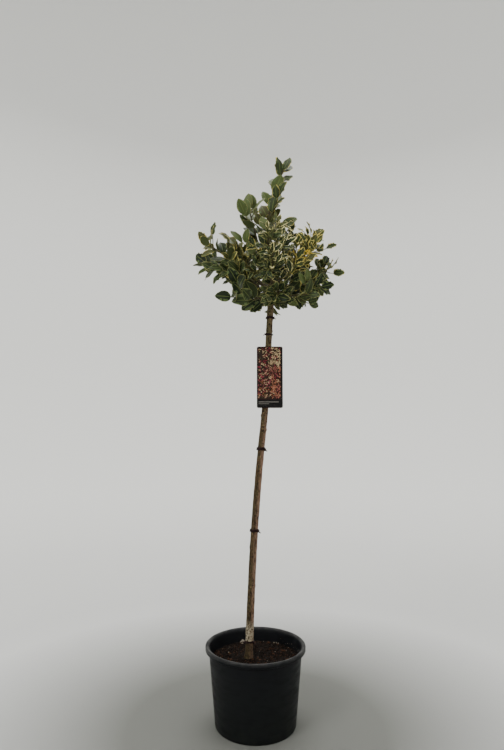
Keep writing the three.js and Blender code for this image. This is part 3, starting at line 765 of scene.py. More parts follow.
def pot_finish():
    """Recycled black plastic: satin, with a dusty foot, a scuffed rim, faint flow marks and a
    painted bluish sheen on its upper wall.
    """
    finish = Finish("pot_black_plastic", (17, 19, 20), 0.5, specular=0.14)
    flow = finish.noise(40, stretch=(1, 1, 0.35), detail=4)
    grain = finish.noise(0.9, detail=1)
    dust = finish.noise(16, detail=5, roughness=0.7)
    height = finish.axis(finish.place, 2)
    rim = finish.spread(height, (POT_TOP - 9) * MM, POT_TOP * MM)
    foot = finish.spread(height, 70 * MM, 0, 0, 0.7)
    # Painted bluish sheen: the upper wall turns darker and bluer towards the rim.
    finish.tint((11, 12, 17), height, 110 * MM, 190 * MM, 0, 0.6)
    finish.tint((30, 33, 27), finish.product(foot, finish.spread(dust, 0.42, 0.7)))
    finish.tint((54, 53, 51), finish.product(rim, finish.spread(dust, 0.4, 0.7, 0.15, 0.8)))
    finish.tint((9, 11, 12), flow, 0.5, 0.7, 0, 0.6)
    finish.rough(flow, 0.4, 0.56)
    finish.bump(flow, 0.25)
    finish.bump(grain, 0.05)
    return finish.material


def soil_finish(name, colour, light, dark):
    finish = Finish(name, colour, 0.95, specular=0.1)
    crumbs = finish.noise(5, detail=5, roughness=0.7)
    fine = finish.noise(1.2, detail=3)
    finish.tint(light, crumbs, 0.52, 0.7, 0, 0.8)
    finish.tint(dark, fine, 0.55, 0.4, 0, 0.8)
    finish.bump(fine, 0.6)
    return finish.material


def plain_finish(name, colour, roughness, size=2.0, depth=0.06, specular=0.2):
    """A plain colour whose gloss and surface vary a little."""
    finish = Finish(name, colour, roughness, specular)
    grain = finish.noise(size, detail=2)
    finish.bump(grain, depth)
    finish.rough(grain, roughness - 0.05, roughness + 0.07)
    return finish.material


# ------------------------------------------------------------------ trunk and limbs

PALE_PATCH = (44, 90)               # heights over the soil
BARK_SIDES, BARK_RING = 40, 2.6
BARK_STRETCH = 3.2                  # how much longer than wide its bumps are
BARK_BUMPS = ((0.6, 6.5, 1), (0.2, 1.8, 2))         # depth, size and seed
ROOT_LOBES, LOBE_DEPTH, LOBE_HEIGHT = 5, 0.7, 12
KNOBS, KNOB_START, KNOB_ZONE = 26, 95, 850
KNOB_HEIGHT, KNOB_SPREAD = 2.1, 3.4
SCAR_SHARE, SCAR_SPREAD = 0.3, 1.2
LIMB_RING, LIMB_SIDES = 3.2, 10
LEADER_COLLAR_FADE, COLLAR, COLLAR_FADE = 13, 2.0, 3.5


def make_trunk():
    """The stem with its root lobes, bark relief and the healed knobs of cut side shoots."""
    heights = np.arange(TRUNK_FOOT, TRUNK_TOP + BARK_RING, BARK_RING)
    centres = np.array([trunk_at(min(height, TRUNK_TOP)) for height in heights])
    centres[:, 2] = heights
    radii = np.array([trunk_radius(height) for height in heights])[:, None]
    angles = np.arange(BARK_SIDES) * math.tau / BARK_SIDES
    fade = np.exp(-(heights - TRUNK_FOOT)[:, None] / LOBE_HEIGHT)
    lobes = LOBE_DEPTH * fade * np.cos(ROOT_LOBES * angles + 0.7)
    up = np.repeat(heights[:, None] / BARK_STRETCH, BARK_SIDES, axis=1)
    surface = np.stack([*(radii * way for way in circle(BARK_SIDES)), up], -1).reshape(-1, 3)
    bark = sum(depth * relief(surface, size, seed) for depth, size, seed in BARK_BUMPS)
    radii = radii + lobes + bark.reshape(len(heights), -1)
    draw = seeded(SEED)
    for k in range(KNOBS):
        height = TRUNK_FOOT + KNOB_START + (k + draw()) * KNOB_ZONE / KNOBS
        angle = math.pi * (1.0 + 1.3 * (draw() - 0.5)) if k % 3 else math.tau * draw()
        turn = np.abs((angles - angle + math.pi) % math.tau - math.pi) * trunk_radius(height)
        away = np.hypot(heights[:, None] - height, turn[None] * 1.2)
        size = KNOB_HEIGHT * (0.55 + 0.6 * draw())
        radii = radii + size * np.exp(-((away / KNOB_SPREAD) ** 2))
        radii -= SCAR_SHARE * size * np.exp(-((away / SCAR_SPREAD) ** 2))
    piece = Piece("stem_bark", bark_finish(), "bark", ["trunk"])
    piece.add(*tube(centres, radii, BARK_SIDES))
    piece.make()


def limb_tube(limb):
    """Bough and stem as one tapering tube, with a collar where it leaves the trunk."""
    shares = np.linspace(0, 1, round(limb.length / LIMB_RING))
    centres = points_on(limb.path, shares)
    radii = np.array([limb.radius(share) for share in shares])
    along = shares * limb.length
    if limb.name == "leader":
        step = trunk_radius(TRUNK_TOP) - limb.radius(0) + 0.3
        collar = step * np.exp(-along / LEADER_COLLAR_FADE)
    else:
        beyond = np.maximum(along - trunk_radius(limb.height), 0)
        collar = COLLAR * np.exp(-beyond / COLLAR_FADE)
    ring = np.stack([*circle(LIMB_SIDES), np.zeros(LIMB_SIDES)], -1) * 4
    surface = (centres[:, None] + ring).reshape(-1, 3)
    bumps = relief(surface, 7, 3).reshape(len(shares), LIMB_SIDES)
    return tube(centres, (radii + collar)[:, None] * (1 + 0.08 * bumps), LIMB_SIDES)


def stem_tube(path, length, thick, thin, sides):
    shares = np.linspace(0, 1, max(4, round(length / 4)))
    centres = points_on(path, shares)
    swell = 1 + 0.1 * np.cos(shares * length / 2.6)
    return tube(centres, (thick + (thin - thick) * shares) * swell, sides)


# ------------------------------------------------------------------ leaves

LEAF_ROWS = 14
LEAF_COLUMNS = 8                    # edge, margin, middle of the blade and rib on each side
RIB_HALF, BLADE_MIDDLE = 0.055, 0.55                # shares of the half width
BACK_DEPTH = np.array([0.32, 0.42, 0.48, 0.95, 0.95, 0.48, 0.42, 0.32])
FULLNESS = (0.9, 0.62)              # powers that shape the blade's outline
POINT_HALF, POINT_SHARE = 0.25, 0.02
SPINE_LENGTH, SPINE_EVERY, SPINE_ROWS = 1.9, 3, (0.15, 0.95)
SOFT_EDGE = 0.16                    # spines of an edge that has none, as a share
THORNY_LIFT, SOFT_LIFT = 1.9, 0.5
VEINS, VEIN_DEPTH, VEIN_SLANT = 6.5, 0.24, 0.8
# Ranges of what is drawn for each leaf: shares, radians down its length, and a roll in mm.
LEAF_DRAWS = {
    "margin": (0.7, 1.3), "ripples": (5, 11), "fold": (0.04, 0.3), "roll": (0.2, 2.4),
    "droop": (-0.04, 0.1), "waves": (6, 9), "twist": (-0.35, 0.35), "bend": (-0.06, 0.06),
}
CURL_FOLD, CURL_DROOP, CURL_WAVES = 0.55, 0.26, 2.4                 # what a curl of 1 adds
BLADE_LIMITS = (0.16, 0.965)        # of the half width, inside the margin
RIPPLE_DEPTH, RIPPLE_NOISE, BLOTCH, BLOTCH_SHARE = 0.7, 0.25, 0.9, 0.06
SPLASH_SHARE, SPLASH_COLUMNS = 0.16, (1, 5)
TO_FRONT = np.array([0, -1, 0.2])
STALK_SHARES, STALK_SAG = np.array([0, 0.5, 1.1]), np.array([0, -0.35, -0.45])
STALK_RADII = (0.95, 0.8, 0.72)


@dataclass(frozen=True)
class Spray:
    """How the leaves of a spray look: its colours, and shares of the usual leaf."""

    blades: tuple
    margins: tuple
    margin: float                   # width of the pale margin in millimetres
    width: float
    size: float
    spiny: float                    # share of the edges that have spines
    curl: float
    turned: float = 0.0             # how far its leaves turn to the front


# The lower sprays and the front one get deep blades and dull margins partly as painted shade of the
# crown's underside and middle, and partly as the leaves' own darker green.
SPRAYS = {
    "leader": Spray(("mid", "fresh", "olive"), ("dull", "yellow"), 0.95, 1.2, 1, 0.35, 0.2, 0.9),
    # The grey-green blades here are partly the leaves' own tone and partly a painted sheen of the
    # lit upper left of the crown.
    "upper_left": Spray(("grey", "mid", "fresh"), ("dull",), 1.0, 1.1, 1, 0.1, 0.1, 0.3),
    "left_high": Spray(("olive", "mid"), ("dull", "yellow"), 0.85, 1.04, 1, 0.3, 0.4),
    "left_low": Spray(("mid", "deep"), ("dull",), 1.1, 1.04, 1, 0.2, 0.4),
    "right": Spray(("mid", "deep"), ("dull", "yellow"), 1.1, 1.2, 1.05, 0.9, 0.2, 0.4),
    "lower_right": Spray(("mid", "fresh", "deep"), ("dull",), 0.9, 1.14, 0.95, 0.7, 0.4),
    "upper_right": Spray(("olive", "mid"), ("yellow",), 1.8, 0.94, 1, 0.7, 0.6),
    "lower_left": Spray(("deep", "mid"), ("dull",), 0.9, 1.24, 1.1, 0.2, 0.3, 0.4),
    "lower_front": Spray(("deep", "mid"), ("dull",), 0.85, 0.95, 0.95, 0.3, 1.0),
    "lower_back": Spray(("deep", "mid"), ("dull",), 1.3, 1.0, 1, 0.3, 0.5),
    "upper_front": Spray(("mid", "olive", "deep"), ("yellow", "dull", "cream"), 1.15, 0.86, 0.9,
                         0.4, 1.5),
    "front": Spray(("deep", "mid", "deep"), ("dull", "cream", "dull"), 1.0, 0.82, 0.84, 0.4, 1.6),
}
USUAL_SPRAY = Spray(("mid", "deep", "olive"), ("dull", "yellow", "cream"), 1.4, 0.96, 1, 0.35, 0.7)
GOLD_SPRAY = Spray(("olive", "fresh"), ("gold",), 5.4, 0.9, 0.92, 0.6, 1.2)
# Painted shade: sprays in the crown's shaded middle get only deep blades and narrow, dull margins.
PAINTED_SHADE_SPRAY = Spray(("deep",), ("dull",), 0.7, 0.82, 0.82, 0.4, 1.6)
# Spots in front whose sprays have a look of their own: their middle and half size, across and up;
# the second is painted shade.
SPOTS = (
    (GOLD_SPRAY, np.array([140, 1303]), np.array([33, 19])),
    (PAINTED_SHADE_SPRAY, np.array([12, 1246]), np.array([38, 50])),
)
BLADES = {
    "deep": (26, 34, 19), "mid": (44, 52, 29), "fresh": (66, 76, 40), "grey": (82, 90, 56),
    "olive": (63, 63, 33),
}
MARGINS = {
    "cream": (208, 198, 138), "yellow": (178, 164, 88), "dull": (120, 120, 72),
    "gold": (206, 172, 52),
}


def used(points, normals, faces):
    """Only the points that some faces use, with the faces renumbered."""
    kept, order = np.unique(faces, return_inverse=True)
    return points[kept], order.reshape(faces.shape), normals[kept]


def leaf_outline(rng, spiny, width):
    """Rows as shares, and the places along, half widths and heights of both wavy, spiny edges."""
    rows = np.linspace(0, 1, LEAF_ROWS + 1)
    root = STALK_HALF_WIDTH / LEAF_HALF_WIDTH
    wide = root * (1 - rows)
    wide = wide + (1 - root) * np.sin(math.pi * rows ** FULLNESS[0]) ** FULLNESS[1]
    wide[-1] = POINT_SHARE
    along, half, lift = (np.zeros((LEAF_ROWS + 1, 2)) for _ in range(3))
    for side in range(2):
        first = rng.integers(3, 6)
        steps = np.arange(LEAF_ROWS + 1) - first
        thorny = rng.random() < spiny
        pointed = (steps % SPINE_EVERY == 0) & (rows > SPINE_ROWS[0]) & (rows < SPINE_ROWS[1])
        spines = np.where(pointed, 1.0, -0.3)
        strength = (1.0 if thorny else SOFT_EDGE) * SPINE_LENGTH
        grows = np.sin(math.pi * rows) ** 0.5
        half[:, side] = wide * LEAF_HALF_WIDTH * width + strength * spines * grows
        along[:, side] = rows * LEAF_LENGTH + strength * 0.7 * np.maximum(spines, 0)
        rise = THORNY_LIFT if thorny else SOFT_LIFT
        lift[:, side] = rise * np.cos(math.pi * steps / SPINE_EVERY) * grows
    half[0], half[-1], along[-1] = wide[0] * LEAF_HALF_WIDTH, POINT_HALF, LEAF_LENGTH
    return rows, along, half, lift


def leaf_grid(leaf, spray, rng):
    """Front points, back points and front normals of a leaf, as (rows, columns, 3)."""
    def drawn(name):
        return rng.uniform(*LEAF_DRAWS[name])

    rows, along, half, lift = leaf_outline(rng, spray.spiny, spray.width)
    edge, row = np.ones_like(rows), rows[:, None]
    scale, curl = leaf.scale * spray.size, spray.curl
    margin = spray.margin * drawn("margin") / scale
    ripple = 1 + RIPPLE_DEPTH * np.sin(row * drawn("ripples") + rng.uniform(0, 6, 2))
    uneven = rng.uniform(-RIPPLE_NOISE, RIPPLE_NOISE, ripple.shape)
    ripple += uneven + BLOTCH * (rng.random(ripple.shape) < BLOTCH_SHARE)
    left, right = np.clip(1 - margin * ripple / half, *BLADE_LIMITS).T
    columns = np.stack([
        -edge, -left, -BLADE_MIDDLE * left, -RIB_HALF * edge,
        RIB_HALF * edge, BLADE_MIDDLE * right, right, edge,
    ], 1)
    sides = np.repeat([0, 1], LEAF_COLUMNS // 2)
    out = np.abs(columns)
    x = row * LEAF_LENGTH * (1 - out**2) + along[:, sides] * out**2
    y = columns * half[:, sides]
    fold = drawn("fold") + curl * rng.uniform(0, CURL_FOLD)
    roll = drawn("roll") * (1 + curl)
    veins = np.cos(math.tau * (VEINS * row - VEIN_SLANT * out)) * np.sin(math.pi * out)
    z = fold * np.abs(y) - roll * out**2 + lift[:, sides] * out**3 + VEIN_DEPTH * veins
    droop = LEAF_DROOP + drawn("droop") + curl * rng.uniform(0, CURL_DROOP)
    z = z - droop * LEAF_LENGTH * row**2
    waves = np.sin(row * drawn("waves") + rng.uniform(0, 6, 2)[sides])
    z = z + CURL_WAVES * curl * waves * out**2 * np.sin(math.pi * row) ** 0.5
    twist = drawn("twist") * (1 + curl) * row
    y, z = y * np.cos(twist) - z * np.sin(twist), y * np.sin(twist) + z * np.cos(twist)
    bend = drawn("bend") * LEAF_LENGTH * row**2
    side = unit(np.cross(leaf.normal + spray.turned * TO_FRONT, leaf.axis))
    front = (
        leaf.base + leaf.axis * (leaf.stalk + x * scale)[..., None]
        + side * ((y + bend) * scale)[..., None]
        + np.cross(leaf.axis, side) * (z * scale)[..., None]
    )
    normals = np.cross(np.gradient(front, axis=0), np.gradient(front, axis=1))
    normals /= np.linalg.norm(normals, axis=-1, keepdims=True)
    back = front - normals * BACK_DEPTH[:, None]
    return front, back, normals


def leaf_faces():
    """Faces of a leaf's front, back and rim, each front or back face with its column."""
    rows, columns = LEAF_ROWS + 1, LEAF_COLUMNS
    back_start = rows * columns
    as_laid = grid_faces(rows, columns)
    column = np.tile(np.arange(columns - 1), rows - 1)
    front, back = as_laid[:, ::-1], as_laid + back_start
    near = np.arange(LEAF_ROWS) * columns
    left = np.stack([near, near + back_start, near + columns + back_start, near + columns], -1)
    right = left[:, ::-1] + columns - 1
    across = np.arange(columns - 1)
    root = np.stack([across, across + 1, across + 1 + back_start, across + back_start], -1)
    tip = root[:, ::-1] + LEAF_ROWS * columns
    return front, back, column, np.concatenate([left, right, root, tip])


FRONT, BACK, COLUMN, RIM = leaf_faces()
EDGE = (COLUMN == 0) | (COLUMN == LEAF_COLUMNS - 2)
RIB = LEAF_COLUMNS // 2 - 1


def looks_of(mass):
    """The look of each spray of a mass: its limb's, or that of the spot where its middle lies."""
    middles = {}
    for leaf in mass.leaves:
        middle = leaf.base + leaf.axis * 0.5 * LEAF_LENGTH * leaf.scale
        middles.setdefault(leaf.spray, []).append(middle)
    looks = {}
    for number, found in middles.items():
        centre = np.mean(found, axis=0)
        looks[number] = SPRAYS.get(mass.limb.name, USUAL_SPRAY)
        for spray, place, size in SPOTS:
            inside = np.linalg.norm((centre[[0, 2]] - place) / size) < 1
            if inside and centre[1] < CROWN_AXIS[1]:
                looks[number] = spray
    return looks


def add_leaf(leaf, spray, pieces, rng):
    """Sorts one leaf's faces into the pieces of its spray's colours."""
    front, back, normals = leaf_grid(leaf, spray, rng)
    points = np.concatenate([front.reshape(-1, 3), back.reshape(-1, 3)])
    normals = np.concatenate([normals.reshape(-1, 3), -normals.reshape(-1, 3)])
    blade = spray.blades[leaf.spray % len(spray.blades)]
    margin = spray.margins[(leaf.spray + 1) % len(spray.margins)]
    rows = np.repeat(np.arange(LEAF_ROWS), LEAF_COLUMNS - 1)
    splashes = rng.random((LEAF_ROWS + 2, LEAF_COLUMNS)) < SPLASH_SHARE
    splash = splashes[rows, COLUMN] | splashes[rows + 1, COLUMN]
    splash &= np.isin(COLUMN, SPLASH_COLUMNS)
    inner = ~EDGE & (COLUMN != RIB)
    rim = np.concatenate([FRONT[EDGE], BACK[EDGE], RIM])
    for name, faces in (
        ("blades_" + blade, FRONT[inner & ~splash]),
        ("splashes", FRONT[inner & splash]),
        ("midribs", FRONT[COLUMN == RIB]),
        ("leaf_backs", BACK[~EDGE]),
        ("margins_" + margin, rim),
    ):
        if len(faces):
            pieces[name].add(*used(points, normals, faces))


def crown_pieces():
    """An empty piece for each kind of limb and each colour of leaf."""
    looks = {
        "boughs": (twig_finish("bough_bark", (66, 58, 38), (38, 32, 22), 0.72), "bough",
                   nodes_named("bough_")),
        "twigs": (twig_finish("twig_bark", (74, 74, 40), (48, 44, 26)), "bough",
                  nodes_named("foliage_")),
        "buds": (twig_finish("bud_scales", (84, 76, 42), (54, 42, 28), 0.5), "bough"),
        "leaf_stalks": (leaf_finish("leaf_stalks", (112, 114, 60), 0.5, 0), "foliage"),
        "midribs": (leaf_finish("leaf_midribs", (84, 96, 50)), "foliage"),
        "splashes": (leaf_finish("leaf_splashes", (72, 86, 50)), "foliage"),
        "leaf_backs": (leaf_finish("leaf_backs", (72, 80, 50), 0.6, 0), "foliage"),
    }
    for name, colour in BLADES.items():
        looks["blades_" + name] = leaf_finish("leaf_" + name, colour), "foliage"
    for name, colour in MARGINS.items():
        slot = "gold_foliage" if name == "gold" else "foliage"
        looks["margins_" + name] = leaf_finish("margin_" + name, colour), slot
    return {name: Piece(name, *look) for name, look in looks.items()}


def make_crown():
    """All limbs, twigs, buds, stalks and leaves."""
    pieces = crown_pieces()
    rng = np.random.default_rng(SEED)
    for limb in LIMBS:
        mass = grow_mass(limb)
        if limb.name not in WITHOUT_SPRIGS:
            grow_sprigs(mass)
        pieces["boughs"].add(*limb_tube(limb))
        for path, length in mass.twigs:
            pieces["twigs"].add(*stem_tube(path, length, TWIG_RADIUS, TWIG_TIP_RADIUS, 7))
        for path, length in mass.sprigs:
            pieces["twigs"].add(*stem_tube(path, length, SPRIG_RADIUS, SPRIG_TIP_RADIUS, 6))
        for path in [limb.path, *(twig[0] for twig in mass.twigs + mass.sprigs)]:
            pieces["buds"].add(*blob(path[2], direction_on(path, 1), 1.2, 3.4))
        looks = looks_of(mass)
        for leaf in mass.leaves:
            add_leaf(leaf, looks[leaf.spray], pieces, rng)
            along = np.outer(STALK_SHARES * leaf.stalk, leaf.axis)
            centres = leaf.base + along + np.outer(STALK_SAG, leaf.normal)
            pieces["leaf_stalks"].add(*tube(centres, STALK_RADII, 6))
            bud = leaf.base + leaf.axis * 1.5 + leaf.normal * 0.7
            pieces["buds"].add(*blob(bud, unit(leaf.axis + leaf.normal), 0.8, 1.9, 5, 3))
    for piece in pieces.values():
        piece.make()


# ------------------------------------------------------------------ pot and soil

POT_FOOT_RADIUS, POT_WALL_RADIUS = 111.5, 131.0
POT_WALL, POT_FLOOR, POT_LIP = 2.4, 3.0, 1.5
POT_SIDES, POT_RINGS = 180, 24
POT_SWAY = 0.0022                   # how far the thin wall is out of round, as a share
SOIL_RING, SOIL_SECTORS, SOIL_SKIRT = 1.7, 240, 30
CRUMBS, FIBRE_EVERY, PALE_EVERY, CHIP_EVERY = 1500, 29, 31, 4
FIBRE_REACH = 7
SOIL_DROP = ((62, 92, 125), (0, 1.5, 5))            # distances from the middle, and drops
SOIL_BUMPS = ((1.9, 26, 5, 2), (1.7, 8, 6, 3))      # depth, size, seed and octaves
MOUND_HEIGHT, MOUND_SPREAD = 3, 24
LUMP_SHAPES = {
    "soil_crumbs": np.array([1, 1, 0.8]), "bark_chips": np.array([1.7, 1.0, 0.4]),
    "pale_bits": np.array([0.7, 0.55, 0.4]),
}
PALE_LUMPS = (                      # place and size of the pale lumps that show in the photograph
    (-37, 114, 6.4), (-43, 111, 4.4), (-31, 115, 4), (-38, 97, 3.6), (-76, 25, 2.6),
    (56, 108, 3), (62, 106, 3.4), (68, 103, 2.8),
)
SPLASHES_ON_WALL = 16


def wall_inside(height):
    share = (height - POT_FLOOR) / (POT_TOP - POT_LIP - POT_FLOOR)
    return POT_FOOT_RADIUS + (POT_WALL_RADIUS - POT_FOOT_RADIUS) * share - POT_WALL


def make_pot():
    """The pot turned from its profile: outside from the foot to the lip, then down the inside."""
    foot, wall, rim, top = POT_FOOT_RADIUS, POT_WALL_RADIUS, POT_RIM_RADIUS, POT_TOP
    heights = np.linspace(6, top - 16, POT_RINGS)
    outside = [(foot + (wall - foot) * z / (top - POT_WALL), z) for z in heights]
    inside = [(wall_inside(z), z) for z in np.linspace(top - 8, 9, POT_RINGS)]
    profile = [
        (3, 1.2), (foot - 16, 1.2), (foot - 14.5, 0.3), (foot - 13, 0), (foot - 4, 0),
        (foot - 1.6, 0.5), (foot - 0.5, 1.6), (foot, 3.4), *outside,
        (wall - 0.6, top - 12.2), (wall + 2, top - 12.6), (rim - 2.6, top - 12.7),
        (rim - 1.2, top - 12.4), (rim - 0.3, top - 11.6), (rim - 0.15, top - 7),
        (rim, top - 3.4), (rim - 0.5, top - 1.6), (rim - 1.7, top - 0.5), (rim - 3.4, top),
        (rim - 5.6, top - 0.2), (wall + 0.6, top - 0.9), (wall - 0.8, top - 1.8),
        (wall - 1.7, top - 3.2), (wall - 2.4, top - 5.4), *inside,
        (wall_inside(5) - 1, 4.2), (wall_inside(4) - 4, POT_FLOOR), (3, POT_FLOOR),
    ]
    points, faces = lathe(profile, POT_SIDES)
    angle = np.arctan2(points[:, 1], points[:, 0])
    high = points[:, 2] / top
    points[:, :2] *= (1 - POT_SWAY * (1 + np.cos(3 * angle + 0.6)) * high)[:, None]
    piece = Piece("pot", pot_finish(), "pot", ["pot"])
    piece.add(points, faces)
    piece.make(sharp=50)


def soil_height(x, y):
    """Height of the soil's crumbly surface, a little heaped at the stem."""
    away = np.hypot(x, y)
    drop = np.interp(away, *SOIL_DROP)
    places = np.stack([x, y, 0 * x], -1).reshape(-1, 3)
    bumps = sum(depth * relief(places, *kind) for depth, *kind in SOIL_BUMPS)
    from_stem = np.hypot(x - TRUNK_X[0], y - TRUNK_Y[0])
    mound = MOUND_HEIGHT * np.exp(-((from_stem / MOUND_SPREAD) ** 2))
    return SOIL_TOP - 0.8 - drop + bumps.reshape(x.shape) + mound


def soil_at(x, y, over=0):
    """A place on the soil, or a little over it."""
    return np.array([x, y, float(soil_height(np.array(x), np.array(y))) + over])


def lump(centre, sizes, rng):
    """A small uneven crumb or chip, turned any way."""
    golden = (1 + 5**0.5) / 2
    first = np.array([(0, a, b * golden) for a in (1, -1) for b in (1, -1)]) / 1.9
    corners = np.concatenate([np.roll(first, -k, axis=1) for k in range(3)])
    corners = corners * rng.uniform(0.75, 1.2, (12, 1)) * sizes
    turn = np.linalg.qr(rng.normal(size=(3, 3)))[0]
    turn *= np.sign(np.linalg.det(turn))
    return corners @ turn.T + centre, LUMP_FACES


LUMP_FACES = [
    (0, 2, 8), (0, 8, 4), (0, 4, 6), (0, 6, 9), (0, 9, 2), (2, 5, 8), (8, 10, 4), (4, 1, 6),
    (6, 11, 9), (9, 7, 2), (3, 10, 5), (3, 5, 7), (3, 7, 11), (3, 11, 1), (3, 1, 10),
    (5, 10, 8), (10, 1, 4), (1, 11, 6), (11, 7, 9), (7, 5, 2),
]


def make_soil():
    """The soil's surface and the crumbs, chips, fibres and pale bits that lie on it."""
    edge = wall_inside(SOIL_TOP - 5) + 0.3
    radii = np.append(np.arange(2, edge - 1, SOIL_RING), edge)
    x, y = (np.outer(radii, way) for way in circle(SOIL_SECTORS))
    top = np.stack([x, y, soil_height(x, y)], -1)
    low = SOIL_TOP - SOIL_SKIRT
    inward = wall_inside(low) / wall_inside(SOIL_TOP)
    foot = top[-1] * (inward, inward, 0) + UP * low
    points = np.concatenate([foot * (0.02, 0.02, 1), foot, *top[::-1]])
    soil_look = soil_finish("soil", (17, 11, 7), (29, 19, 12), (7, 5, 3))
    soil = Piece("soil", soil_look, "soil", ["soil"])
    soil.add(points, capped(points, SOIL_SECTORS))

    looks = (
        soil_finish("soil_crumbs", (19, 12, 8), (35, 23, 15), (9, 6, 5)),
        plain_finish("bark_chips", (54, 34, 22), 0.85, 3, 0.5, 0.1),
        plain_finish("pale_bits", (116, 108, 96), 0.85, 2, 0.3),
        plain_finish("fibres", (70, 54, 38), 0.8),
    )
    kinds = {look.name: Piece(look.name, look, "soil") for look in looks}
    rng = np.random.default_rng(SEED)
    for k in range(CRUMBS):
        away, angle = (edge - 4) * math.sqrt(rng.random()), math.tau * rng.random()
        x, y = away * math.cos(angle), away * math.sin(angle)
        if math.hypot(x - TRUNK_X[0], y - TRUNK_Y[0]) < TRUNK_FOOT_RADIUS + 5:
            continue
        size = rng.uniform(0.8, 2.6) + 1.8 * (rng.random() < 0.08)
        if k % FIBRE_EVERY == 0:
            tip = np.array([rng.normal(), rng.normal(), 0]) * FIBRE_REACH
            line = soil_at(x, y) + np.array([0 * tip, tip * 0.5 + UP, tip])
            line[:, :2] *= np.minimum(1, (edge - 3) / np.hypot(line[:, 0], line[:, 1]))[:, None]
            kinds["fibres"].add(*tube(line, [0.3, 0.45, 0.25], 5))
            continue
        kind = "soil_crumbs" if k % CHIP_EVERY else "bark_chips"
        kind = "pale_bits" if k % PALE_EVERY == 0 else kind
        kinds[kind].add(*lump(soil_at(x, y, 0.3), LUMP_SHAPES[kind] * size, rng))
    for x, y, size in PALE_LUMPS:
        kinds["pale_bits"].add(*lump(soil_at(x, y, 1), size * np.array([1, 0.8, 0.7]), rng))
    for k in range(SPLASHES_ON_WALL):
        angle, z = math.radians(-8 + 4.1 * k), SOIL_TOP + rng.uniform(-3, 9)
        away = wall_inside(z) - 0.4
        place = np.array([away * math.cos(angle), away * math.sin(angle), z])
        kinds["pale_bits"].add(*lump(place, rng.uniform(0.6, 1.3) * np.ones(3), rng))
    for piece in (soil, *kinds.values()):
        piece.make()


# ------------------------------------------------------------------ ties and label

# For each height of a tie: the angle of its knot, its half thickness, its rise and its turns.
TIE_WINDS = {
    226: (0.9, 1.3, 6.5, 2), 526: (0.9, 1.5, 7.0, 3), 753: (0.9, 1.7, 8.0, 3),
    1082: (-0.9, 1.3, 3.6, 2), 1131: (0.9, 1.5, 5.0, 3),
}
TAILS = ((-0.6, 9.5), (0.35, 5))    # how each falls and how far it reaches
LABEL_BOW, LABEL_CARD = 1.6, 0.6
CARD_COLUMNS, CARD_CORNERS = 17, ((0, 4), (1.2, 1.2), (4, 0))       # height and inset
PRINT_DEPTH = 0.3
BAND_TOP, STRIPE_WIDTH = 24, 5
INKS = {
    "cream": (170, 148, 112), "green": (58, 58, 34), "salmon": (148, 92, 70),
    "crimson": (112, 24, 42), "pink": (128, 60, 66), "orange": (128, 76, 46),
    "dark": (18, 13, 10), "black": (11, 10, 10), "grey": (122, 118, 112),
}
# Upper end of a zone as a share, its inks, and the ink most used on its right.
ZONES = (
    (0.34, ("green", "orange", "dark", "dark", "cream", "pink"), "salmon"),
    (0.62, ("crimson", "pink", "dark", "cream", "dark", "green"), "salmon"),
    (1.01, ("cream", "green", "dark", "dark", "crimson"), "cream"),
)
GLOSS = (0.32, 9, 0.2, 0.12)        # roughness, size and depth of the relief, specular
PETALS, PETAL_SIDES = 820, 10
STRAP_SIDES, STRAP_THICK, STRAP_HALF = 48, 1.3, 3


def stem_frame(height):
    """The stem's middle, its axis, and directions to its front and its right."""
    axis = unit(trunk_at(height + 5) - trunk_at(height - 5))
    right = unit(ACROSS - axis * axis[0])
    return trunk_at(height), axis, np.cross(right, axis), right


def make_ties():
    """Rubber ties wound two or three times round the stem, each with a knot and two tails."""
    look = plain_finish("tie_rubber", (30, 15, 14), 0.6, 1.5, 0.1, 0.1)
    piece = Piece("ties", look, "tie", nodes_named("tie_"))
    for height, (turn, wire, rise, turns) in TIE_WINDS.items():
        middle, axis, front, right = stem_frame(height)
        away = trunk_radius(height) + 0.3 + wire
        shares = np.linspace(0, 1, 40 * turns)
        angles = turn + shares * turns * math.tau
        out_way = np.outer(np.sin(angles), right) + np.outer(np.cos(angles), front)
        lift = (shares - 0.5) * rise + 0.5 * np.sin(angles) + 0.3 * np.sin(2.3 * angles)
        loose = away + 0.35 * np.sin(1.7 * angles)[:, None]
        centres = middle + loose * out_way + np.outer(lift, axis)
        piece.add(*tube(centres, np.full(len(shares), wire), 8))
        out = unit(math.sin(turn) * right + math.cos(turn) * front)
        knot = middle + out * (away + 1)
        piece.add(*blob(knot - axis * 2.2 * wire, axis, 1.9 * wire, 4.4 * wire, 8, 6))
        side = right * math.copysign(1, turn)
        for fall, reach in TAILS:
            way = unit(side + axis * fall + front * 0.3)
            tail = np.array([knot, knot + way * reach * 0.5 + front * 0.6, knot + way * reach])
            piece.add(*tube(tail, [wire, wire, wire * 0.7], 7))
    piece.make()


def card_front(x):
    """Depth of the label's bowed front at a distance from its middle line."""
    half = (LABEL_HIGH[0] - LABEL_LOW[0]) / 2
    return LABEL_LOW[1] - LABEL_BOW * (1 - (x / half) ** 2) + LABEL_BOW


